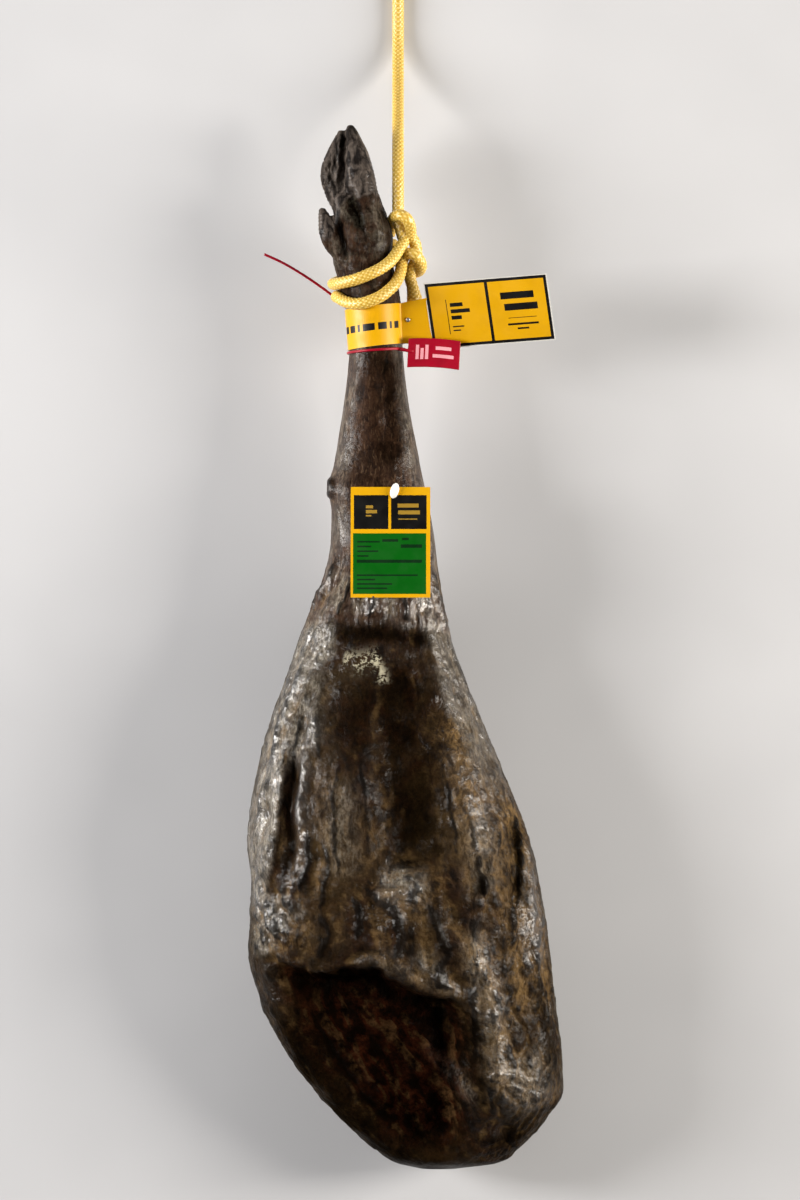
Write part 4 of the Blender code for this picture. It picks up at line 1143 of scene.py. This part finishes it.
def smooth_route(points, spacing):
    """Evenly spaced points on a smooth curve through the given ones."""
    knots = np.array(points, float)
    padded = np.concatenate([[2 * knots[0] - knots[1]], knots, [2 * knots[-1] - knots[-2]]])
    t = np.linspace(0, 1, 16, endpoint=False)[:, None]
    runs = []
    for a, b, c, d in zip(padded, padded[1:], padded[2:], padded[3:]):
        runs.append(b + 0.5 * t * (c - a + t * (2 * a - 5 * b + 4 * c - d + t * (3 * (b - c) + d - a))))
    dense = np.concatenate([*runs, knots[-1:]])
    reach = lengths_along(dense)
    even = np.linspace(0, reach[-1], max(2, round(reach[-1] / spacing) + 1))
    return np.stack([np.interp(even, reach, axis) for axis in dense.T], axis=1)


def leg_point(angle, s, lift):
    """A point `lift` off the leg's surface, at an angle in degrees from +x over the shown side."""
    left, right = float(profile(LEFT, s)), float(profile(RIGHT, s))
    top, bottom, level = float(profile(TOP, s)), float(profile(BOTTOM, s)), float(profile(WIDEST, s))
    turn = math.radians(angle)
    height = top - level if math.sin(turn) > 0 else level - bottom
    half = (right - left) / 2
    normal = unit(np.array([math.cos(turn) / half, math.sin(turn) / height]))
    x, z = half * math.cos(turn), height * math.sin(turn)
    return np.array([(left + right) / 2 + x + normal[0] * lift, s, level + z + normal[1] * lift])


def sides_along(ahead):
    """A direction square to each step of a route, carried along without twist."""
    side = np.cross(ahead[0], (0, 0, 1.0))
    if np.linalg.norm(side) < 0.1:
        side = np.cross(ahead[0], (1.0, 0, 0))
    found = []
    for way in ahead:
        side = unit(side - way * side.dot(way))
        found.append(side)
    return np.array(found)


def braid(name, route, paint, flare=0.0):
    """A braided rope along a route, its end widened by the share `flare`; returns it and its centre line."""
    centre = smooth_route(route, BRAID_SPACING)
    ahead = unit(np.gradient(centre, axis=0))
    across = sides_along(ahead)[:, None, :]
    over = np.cross(ahead[:, None, :], across)
    turn = full_turn(BRAID_SIDES)[None, :]
    length = (np.arange(len(centre)) * BRAID_SPACING)[:, None]
    lead = 2 * math.pi * ROPE_RADIUS / STRANDS
    first = turn / (2 * math.pi) * STRANDS + length / lead
    second = turn / (2 * math.pi) * STRANDS - length / lead
    height = np.sqrt(np.abs(np.sin(math.pi * first) * np.sin(math.pi * second)))
    family = (np.floor(first) + np.floor(second)) % 2
    strand = np.where(family > 0.5, first, second)
    fibre = 0.5 + 0.5 * np.cos(2 * math.pi * 4 * strand)
    width = ROPE_RADIUS - BRAID_RISE * 0.75 + BRAID_RISE * height
    width = width * (1 + flare * fade((length - length[-1] + FLARE_LENGTH) / FLARE_LENGTH))
    around = np.cos(turn)[..., None] * across + np.sin(turn)[..., None] * over
    points, faces = capped(centre[:, None, :] + width[..., None] * around)
    rope = face_out(mesh_of(name, points, faces, [paint]))
    ends = [0.2, 0.2]
    layers = [np.append(layer.reshape(-1), ends) for layer in np.broadcast_arrays(height, fibre, family)]
    set_tones(rope, "braid", (*layers, np.ones(len(points))))
    return rope, centre


def make_rope():
    """Two turns round the ankle, the knot, the free line and its tied eye."""
    paint = rope_paint()
    for name, turns in (("rope_turn_upper", TURN_UPPER), ("rope_turn_lower", TURN_LOWER)):
        piece, _ = braid(f"{name}_braid", [leg_point(a, s, ROPE_LIFT + more) for a, s, more in turns], paint)
        keep(piece, "rope", name)
    knot, _ = braid("rope_knot_braid", KNOT_END, paint, flare=0.35)
    keep(knot, "rope", "rope_knot")
    for name, route in (("rope_knot_core", KNOT_CORE), ("rope_knot_hitch", KNOT_HITCH)):
        piece, _ = braid(name, route, paint)
        keep(piece, "rope")
    eye, _ = braid("rope_eye_braid", EYE, paint)
    keep(eye, "rope", "rope_eye")
    whipping, _ = braid("rope_eye_collar", EYE_KNOT, paint)
    keep(whipping, "rope")
    line, centre = braid("rope_line_braid", ROPE_LINE, paint)
    keep(line, "rope", "rope_line")
    length = np.linalg.norm(np.diff(centre, axis=0), axis=1).sum() * MM
    tuple(row(centre[0]))
    [tuple(p) for p in row(centre)]


# Printed cards

TAG_CORNER = (17.8, 677.3, 89)
TAG_ACROSS = (92.8, 6.1, 24)
TAG_DOWN = (7.5, -49.4, -13.5)
NECK_FROM, NECK_TO = 0.22, 0.92
BAND_LOWER = 629.7
BAND_UPPER = 660.4
BAND_TILT = math.tan(math.radians(6.5))
BAND_CLEAR = 0.5
BAND_START, BAND_END, BAND_STEPS = 24, 342, 64
BAND_HALF = 22.5
FLANGE_DROP = 1.4
TAG_MARGIN, TAG_FRAME = 0.7, 2.3
# The blocks printed along the band, and the row that they stand in
BLOCK_LENGTHS = [5.5, 2.2, 7, 9.6, 2.2, 6.4, 8.4, 5.2, 2.2, 7.6, 6.2, 4.4]
BLOCK_GAP = 2.6
BLOCK_MARGIN = 4.0
BLOCK_ROW = (13.4, 18.8)
RIVET_SHARE = 0.74
RIVET_S = 650
RIVET_LIFT = 0.9
RIVET_HALF = (1.75, 1.75, 0.6)
DOME_SIDES, DOME_RINGS = 40, 20


def lines_of(rectangles, axis, end, step):
    """Grid lines from 0 to `end` at every edge of the rectangles, and between them at most `step` apart."""
    marks = {0, end}
    for rectangle in rectangles:
        marks |= {min(max(edge, 0), end) for edge in (rectangle[axis], rectangle[axis + 2])}
    lines = []
    ordered = sorted(marks)
    for a, b in zip(ordered, ordered[1:]):
        if b - a > 1e-6:
            lines += list(np.linspace(a, b, max(1, math.ceil((b - a) / step)), endpoint=False))
    return np.array([*lines, ordered[-1]])


def ink_at(rectangles, u, v):
    """Which paint the print shows at a place: that of the last rectangle over it, or 0."""
    ink = 0
    for u0, v0, u1, v1, paint in rectangles:
        if u0 < u < u1 and v0 < v < v1:
            ink = paint
    return ink


def rim_of(rows, columns):
    """The points round the edge of a grid, in order."""
    rim = [(i, 0) for i in range(rows)] + [(rows - 1, j) for j in range(1, columns)]
    rim += [(i, columns - 1) for i in range(rows - 2, -1, -1)] + [(0, j) for j in range(columns - 2, 0, -1)]
    return [i * columns + j for i, j in rim]


def printed_card(name, size, rectangles, place, paints, step, thickness=CARD):
    """A card with its print as fields of its face. Each rectangle is (u0, v0, u1, v1, paint), later ones on
    top; place(u, v) gives the face's point, and paints[0] is the ground, paints[-1] the back and edges."""
    us = lines_of(rectangles, 0, size[0], step)
    vs = lines_of(rectangles, 1, size[1], step)
    face = np.array([[place(u, v) for v in vs] for u in us])
    normals = unit(np.cross(np.gradient(face, axis=1), np.gradient(face, axis=0)))
    back = face - normals * thickness
    rows, columns = len(us), len(vs)
    points = np.concatenate([face.reshape(-1, 3), back.reshape(-1, 3)])
    offset, plain = rows * columns, len(paints) - 1
    faces, colours = [], []
    for i in range(rows - 1):
        for j in range(columns - 1):
            a = i * columns + j
            b, c, d = a + columns, a + columns + 1, a + 1
            faces += [(a, d, c, b), (offset + b, offset + c, offset + d, offset + a)]
            colours += [ink_at(rectangles, (us[i] + us[i + 1]) / 2, (vs[j] + vs[j + 1]) / 2), plain]
    rim = rim_of(rows, columns)
    for a, b in zip(rim, rim[1:] + rim[:1]):
        faces.append((a, b, b + offset, a + offset))
        colours.append(plain)
    return face_out(mesh_of(name, points, faces, paints, colours, smooth=False))


def bars(left, top, width, gap, height, ink, lengths):
    """Rows of short bars: the length of each is a share of the width."""
    made = []
    for i, share in enumerate(lengths):
        v = top + i * gap
        made.append((left, v, left + width * share, v + height, ink))
    return made


def tag_print(wide, tall):
    """The tag's print: two black frames side by side, with plain bars in them."""
    half, inner = wide / 2, TAG_MARGIN + TAG_FRAME
    return [
        (0, 0, TAG_MARGIN + 0.01, tall, 2), (wide - TAG_MARGIN - 0.01, 0, wide, tall, 2),
        (0, 0, wide, TAG_MARGIN, 2), (0, tall - TAG_MARGIN, wide, tall, 2),
        (TAG_MARGIN, TAG_MARGIN, wide - TAG_MARGIN, tall - TAG_MARGIN, 1),
        (inner, inner, wide - inner, tall - inner, 0),
        (half - 1.2, TAG_MARGIN, half + 1.2, tall - TAG_MARGIN, 1),
        (15, 14, 15.6, 41, 1),
        (18, 17, 28, 20, 1), (18, 22, 33, 25, 1), (18, 27, 26, 30, 1), (18, 35, 27, 36, 1),
        (18, 38, 24, 39, 1),
        (half + 10, 12, half + 36, 17.4, 1), (half + 12, 21, half + 38, 26.4, 1),
        (half + 14, 32, half + 36, 32.5, 1), (half + 13, 36.4, half + 37, 38, 1),
        (half + 20, 40, half + 29, 41.4, 1),
    ]


def make_tag(paints):
    """The tag folded out of the band, slightly bowed; returns the two ends of its root."""
    corner, across, down = (np.array(v, float) for v in (TAG_CORNER, TAG_ACROSS, TAG_DOWN))
    wide, tall = np.linalg.norm(across), np.linalg.norm(down)

    def place(u, v):
        bow = 1.6 * math.sin(math.pi * u / wide) + 0.8 * math.sin(math.pi * v / tall)
        return corner + across * (u / wide) + down * (v / tall) + np.array([0, 0, bow])

    tag = printed_card("band_tag", (wide, tall), tag_print(wide, tall), place, paints, 4.0)
    keep(tag, "printed_card", "band")
    return np.array([place(1.0, share * tall) for share in (NECK_FROM, NECK_TO)])


def band_ring():
    """Upper and lower edge of the turn round the ankle, as pairs of points."""
    ring = []
    for angle in np.linspace(BAND_START, BAND_END, BAND_STEPS):
        shift = BAND_TILT * BAND_HALF * math.cos(math.radians(angle))
        ring.append([leg_point(angle, s + shift, BAND_CLEAR + CARD) for s in (BAND_UPPER, BAND_LOWER)])
    return np.array(ring)


def band_print(end):
    """A row of solid blocks, laid out from `end` backward as far as there is room."""
    blocks = []
    at = BLOCK_MARGIN
    for length in BLOCK_LENGTHS:
        if at + length > end - BLOCK_MARGIN:
            break
        blocks.append((end - at - length, BLOCK_ROW[0], end - at, BLOCK_ROW[1], 1))
        at += length + BLOCK_GAP
    return blocks


def make_band(yellow, black, edge):
    """One strip: the tag, the neck, the turn round the ankle and the seam's under layer."""
    paints = [yellow, black, edge]
    root = make_tag(paints)
    ring = band_ring()
    to_ring = ring[0] - root
    neck = np.array([root + t * to_ring for t in np.linspace(0, 1, 8, endpoint=False)])
    under = np.array([0, 0, FLANGE_DROP + CARD])
    flange = np.array([root + t * to_ring - under for t in (0.9, 0.8, 0.7, 0.6, 0.5, 0.4)])
    rows = np.concatenate([neck, ring, flange])
    reach = lengths_along(rows.mean(axis=1))
    height = np.linalg.norm(ring[0][0] - ring[0][1])

    def place(u, v):
        upper, lower = ([np.interp(reach[-1] - u, reach, rows[:, k, i]) for i in range(3)] for k in (0, 1))
        return np.array(upper) + (np.array(lower) - upper) * (v / height)

    blocks = band_print(reach[-1] - reach[len(neck)])
    strip = printed_card("band_strip", (reach[-1], height), blocks, place, paints, 1.6)
    keep(strip, "printed_card")
    return root, ring[0]


def dome(name, centre, half, paint, turn=0.0, lean=(0, 0, 1), squareness=1.0):
    """A smooth button: an ellipsoid turned about the vertical, and then leaning along `lean`."""
    polar = np.linspace(0.02, math.pi - 0.02, DOME_RINGS)[:, None]
    around = full_turn(DOME_SIDES)[None, :] + 0 * polar
    flat = np.sin(polar) ** squareness
    local = np.stack([flat * np.cos(around), flat * np.sin(around), np.cos(polar) + 0 * around], axis=-1)
    turned = Matrix.Rotation(math.radians(turn), 3, "Z")
    leaning = Vector((0, 0, 1)).rotation_difference(Vector(lean)).to_matrix()
    points, faces = capped((local * half) @ np.array(leaning @ turned).T + np.array(centre))
    return face_out(mesh_of(name, points, faces, [paint]))


def make_rivet(root, leave):
    """A domed stud on the neck beside the leg."""
    upper, lower = root + RIVET_SHARE * (leave - root)
    middle = upper + (upper[1] - RIVET_S) / (upper[1] - lower[1]) * (lower - upper)
    normal = unit(np.cross(root[0] - leave[0], upper - lower))
    centre = middle + normal * RIVET_LIFT
    stud = dome("rivet_head", centre, RIVET_HALF, steel_paint(), lean=normal, squareness=0.6)
    keep(stud, "steel", "rivet")


# The seal

STRAP_S = 626.6
STRAP_TILT = math.tan(math.radians(4))
STRAP_RADIUS = 1.0
STRAP_CLEAR = 0.35
STRAP_HALF = 22
STRAP_SIDES, STRAP_STEPS = 12, 180
SEAL_TAIL = [
    (-40.5, 660.5, 50.5), (-47, 666.5, 50), (-58, 675, 52), (-72, 684.5, 55.5), (-88, 694, 59),
    (-104, 701.4, 62),
]
# The tail starts behind the shank and passes outside the band at these places
TAIL_ANGLE = 225
TAIL_ROOT_S = 624
TAIL_BEHIND = (627, 636, 645, 653)
TAIL_CLEAR = 0.7
ARM_ANGLE = 38
FLAG_CENTRE = (25.8, 624.6, 88)
FLAG_SIZE = (39.7, 22, 1.6)
FLAG_TURN = -3


def strap_tube(name, route, paint, radius, flatness, closed=False, bead=0.0):
    """A thin plastic strap: flattened, with small teeth across it where `bead` is above zero."""
    centre = np.array(route, float) if closed else smooth_route(route, 0.8)
    ahead = unit(np.roll(centre, -1, 0) - np.roll(centre, 1, 0) if closed else np.gradient(centre, axis=0))
    outward = centre - centre.mean(axis=0) if closed else np.array([0, 0, 1.0])
    up = unit(outward - ahead * (outward * ahead).sum(axis=1)[:, None])
    side = np.cross(ahead, up)
    turn = full_turn(STRAP_SIDES)[None, :, None]
    tooth = 1 + bead * (np.arange(len(centre)) % 2)[:, None, None]
    around = np.cos(turn) * side[:, None, :] + flatness * tooth * np.sin(turn) * up[:, None, :]
    rings = centre[:, None, :] + radius * around
    if closed:
        points = rings.reshape(-1, 3)
        faces = grid_faces(len(centre) + 1, STRAP_SIDES) % len(points)
    else:
        points, faces = capped(rings)
    return face_out(mesh_of(name, points, faces, [paint]))


def make_strap(red):
    """The strap round the shank, with its toothed tail behind and the arm that holds the flag."""
    lift = STRAP_RADIUS + STRAP_CLEAR
    loop = []
    for angle in np.linspace(0, 360, STRAP_STEPS, endpoint=False):
        shift = STRAP_TILT * STRAP_HALF * math.cos(math.radians(angle))
        loop.append(leg_point(angle, STRAP_S + shift, lift))
    root = leg_point(TAIL_ANGLE, TAIL_ROOT_S, lift + STRAP_CLEAR)
    outside = BAND_CLEAR + CARD + STRAP_RADIUS + TAIL_CLEAR
    behind = [leg_point(TAIL_ANGLE, s, outside) for s in TAIL_BEHIND]
    arm_start = leg_point(ARM_ANGLE, STRAP_S + 1, lift)
    arm_end = np.array(FLAG_CENTRE) + (4 - FLAG_SIZE[0] / 2, 1, 0.1)
    arm_middle = (arm_start + arm_end) / 2 + (0, 0, 1.2)
    keep(strap_tube("seal_strap", loop, red, STRAP_RADIUS, 0.75, closed=True), "red_plastic")
    tail = strap_tube("seal_tail", [root, *behind, *SEAL_TAIL], red, STRAP_RADIUS, 0.7, bead=0.12)
    keep(tail, "red_plastic")
    arm = strap_tube("seal_arm", [arm_start, arm_middle, arm_end], red, STRAP_RADIUS * 1.3, 0.8)
    keep(arm, "red_plastic")


def make_flag(red, pale):
    """The seal's flag, a thin plate with plain bars and softened edges."""
    wide, long, thick = FLAG_SIZE
    turn = math.radians(FLAG_TURN)

    def place(u, v):
        x = u - wide / 2
        y = long / 2 - v - 1.1 * (2 * x / wide) ** 2
        x, y = x * math.cos(turn) - y * math.sin(turn), x * math.sin(turn) + y * math.cos(turn)
        return np.array(FLAG_CENTRE) + (x, y, thick / 2 + 0.5 * math.cos(math.pi * x / wide))

    prints = [(6, 5, 8.4, 16, 1), (9.6, 7.6, 12, 16, 1), (13.2, 5, 15.6, 16, 1)]
    prints += [(21, 6, 33, 8.6, 1), (19, 12, 35, 14.6, 1)]
    flag = printed_card("seal_flag", (wide, long), prints, place, [red, pale, red], 1.4, thick)
    bevel = flag.modifiers.new("soft_edge", "BEVEL")
    bevel.width = 0.5 * MM
    bevel.segments = 3
    bevel.limit_method = "ANGLE"
    bevel.angle_limit = math.radians(60)
    keep(flag, "red_plastic", "seal")


def make_seal():
    """The strap and the flag, in crimson plastic with pale print."""
    red = plastic_paint("red_plastic", srgb(152, 3, 33), srgb(116, 2, 24), 0.32)
    pale = plastic_paint("red_plastic_print", srgb(226, 160, 168), srgb(206, 120, 134), 0.4)
    make_strap(red)
    make_flag(red, pale)


# The label

# The card's edges across and along the leg, and the pin head's centre, half sizes and turn
LABEL_X = (-37.4, 23.0)
LABEL_S = (438.3, 522.2)
PIN = (-4.1, 519.3)
PIN_HALF = (3.2, 6.0, 1.3)
PIN_TURN = -15


def label_print():
    """The label's print: two dark boxes and a green field, all with plain bars."""
    prints = [
        (2.4, 6.2, 28.6, 32, 1), (30.6, 6.2, 57.6, 32, 1), (1.8, 35.2, 57.2, 81.2, 2),
        (11.5, 14, 17, 16.2, 4), (11.5, 17.4, 20, 20, 4), (11.5, 21.2, 15.6, 22.4, 4),
        (35.5, 12.6, 51.5, 15.6, 4), (36, 17.8, 52.5, 20.8, 4), (36, 24, 50.5, 24.8, 4),
    ]
    prints += bars(5, 41, 17, 3.6, 1.2, 3, (1.0, 0.62, 0.94, 0.5))
    prints += [(24, 39.6, 36, 41.6, 3), (39, 38.6, 44, 40.4, 3), (38, 43.6, 54, 46.2, 3)]
    prints += [(4.6, 55.2, 54, 57.6, 3)]
    return prints + bars(4.8, 66.4, 46, 3.3, 1.2, 3, (1.0, 0.3, 0.58, 0.5))


def make_label(yellow, black, edge):
    """The card pinned on the shank, bowed across and rising toward the butt."""
    low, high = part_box("label")
    wide, long = LABEL_X[1] - LABEL_X[0], LABEL_S[1] - LABEL_S[0]
    z_low, z_high = low.z / MM + CARD, high.z / MM

    def place(u, v):
        bow = -1.6 * (2 * u / wide - 1) ** 2 + 0.5 * math.sin(math.pi * v / long)
        return np.array([LABEL_X[0] + u, LABEL_S[1] - v, z_low + (z_high - z_low) * v / long + bow - 0.2])

    green = card_paint("label_green", srgb(3, 84, 10), srgb(2, 66, 8))
    dark_green = card_paint("label_dark_green", srgb(4, 40, 12), srgb(3, 30, 8))
    gold = card_paint("label_gold", srgb(150, 118, 40), srgb(120, 92, 30))
    paints = [yellow, black, green, dark_green, gold, edge]
    label = printed_card("label_card", (wide, long), label_print(), place, paints, 3.0)
    keep(label, "label_card", "label")


def make_pin():
    """The oval head of the pin on the label."""
    white = plastic_paint("white_plastic", srgb(238, 237, 232), srgb(214, 212, 204), 0.22, 0.02)
    low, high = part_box("label_pin")
    centre = (*PIN, (low.z + high.z) / 2 / MM)
    pin = dome("label_pin_head", centre, PIN_HALF, white, turn=PIN_TURN, squareness=0.7)
    keep(pin, "white_plastic", "label_pin")


def make_cards():
    """The band with its stud and the label with its pin, in the same yellow, black and pale card."""
    yellow = card_paint("card_yellow", srgb(212, 158, 5), srgb(184, 132, 4))
    black = card_paint("card_black", srgb(10, 9, 9), srgb(18, 16, 16), 0.4)
    edge = card_paint("card_edge", srgb(206, 204, 198), srgb(176, 172, 164), 0.6)
    root, leave = make_band(yellow, black, edge)
    make_rivet(root, leave)
    make_label(yellow, black, edge)
    make_pin()


# The room

CAMERA_HEIGHT = 4.0
FOCUS_HEIGHT = 0.065
# The photograph's height and the row of the butt end in it, in pixels
PHOTO_PIXELS = 1200
BUTT_PIXEL = 1170
PIXELS_PER_METRE = 1306
PHOTO_HEIGHT = PHOTO_PIXELS / PIXELS_PER_METRE
MIDDLE = PLUMB_X * MM, (BUTT_PIXEL - PHOTO_PIXELS / 2) / PIXELS_PER_METRE - LENGTH / 2 * MM
SENSOR = 36.0
LIGHT_AIM = Vector((0, 0, 0.05))
FLOOR_REACH = 6000
FLOOR_DROP = 0.0005


def make_camera():
    """Straight above, at the photograph's viewing angle."""
    data = bpy.data.cameras.new("camera")
    data.sensor_fit = "VERTICAL"
    data.sensor_height = SENSOR
    data.lens = SENSOR * CAMERA_HEIGHT / PHOTO_HEIGHT
    data.clip_end = 50
    camera = link(bpy.data.objects.new("camera", data))
    camera.location = (MIDDLE[0], MIDDLE[1], FOCUS_HEIGHT + CAMERA_HEIGHT)
    bpy.context.scene.camera = camera


def area_light(name, place, size, power, colour):
    """A soft lamp aimed at the middle of the part."""
    data = bpy.data.lights.new(name, "AREA")
    data.shape = "RECTANGLE"
    data.size, data.size_y = size
    data.energy = power
    data.color = colour
    light = link(bpy.data.objects.new(name, data))
    light.location = place
    light.rotation_euler = (LIGHT_AIM - Vector(place)).to_track_quat("-Z", "Y").to_euler()


def make_floor():
    """A plain pale floor, a little below the part."""
    p = Paint("floor")
    colour = p.grade(p.noise(3, 3), 0.3, 0.7, srgb(190, 191, 194), srgb(198, 199, 202))
    paint = p.finish(colour, 0.9, Specular_IOR_Level=0.0)
    corners = [(x * FLOOR_REACH, y * FLOOR_REACH, 0) for x, y in ((-1, -1), (1, -1), (1, 1), (-1, 1))]
    floor = mesh_of("floor", np.array(corners), [(0, 1, 2, 3)], [paint])
    floor.location.z = -FLOOR_DROP


def make_room():
    """The floor, two strong soft lamps at the sides, a weak one beyond the hoof, and a dim sky."""
    make_floor()
    area_light("light_left", (-2.3, 0.3, 0.82), (0.6, 2.2), 136, (1.0, 0.965, 0.93))
    area_light("light_right", (2.3, 0.1, 0.82), (0.6, 2.2), 136, (1.0, 0.94, 0.86))
    area_light("light_far", (0.0, 2.2, 1.3), (2.0, 0.8), 9, (1, 1, 1))
    world = bpy.data.worlds.new("world")
    world.use_nodes = True
    sky = world.node_tree.nodes["Background"].inputs
    sky["Color"].default_value = (0.76, 0.75, 0.73, 1)
    sky["Strength"].default_value = 0.1
    bpy.context.scene.world = world
    bpy.context.scene.view_settings.view_transform = "Standard"


make_camera()
make_rope()
meat = meat_paint()
keep(make_body(meat), "cured_meat", "ham")
keep(make_foot(meat), "cured_meat")
make_cards()
make_seal()
make_room()
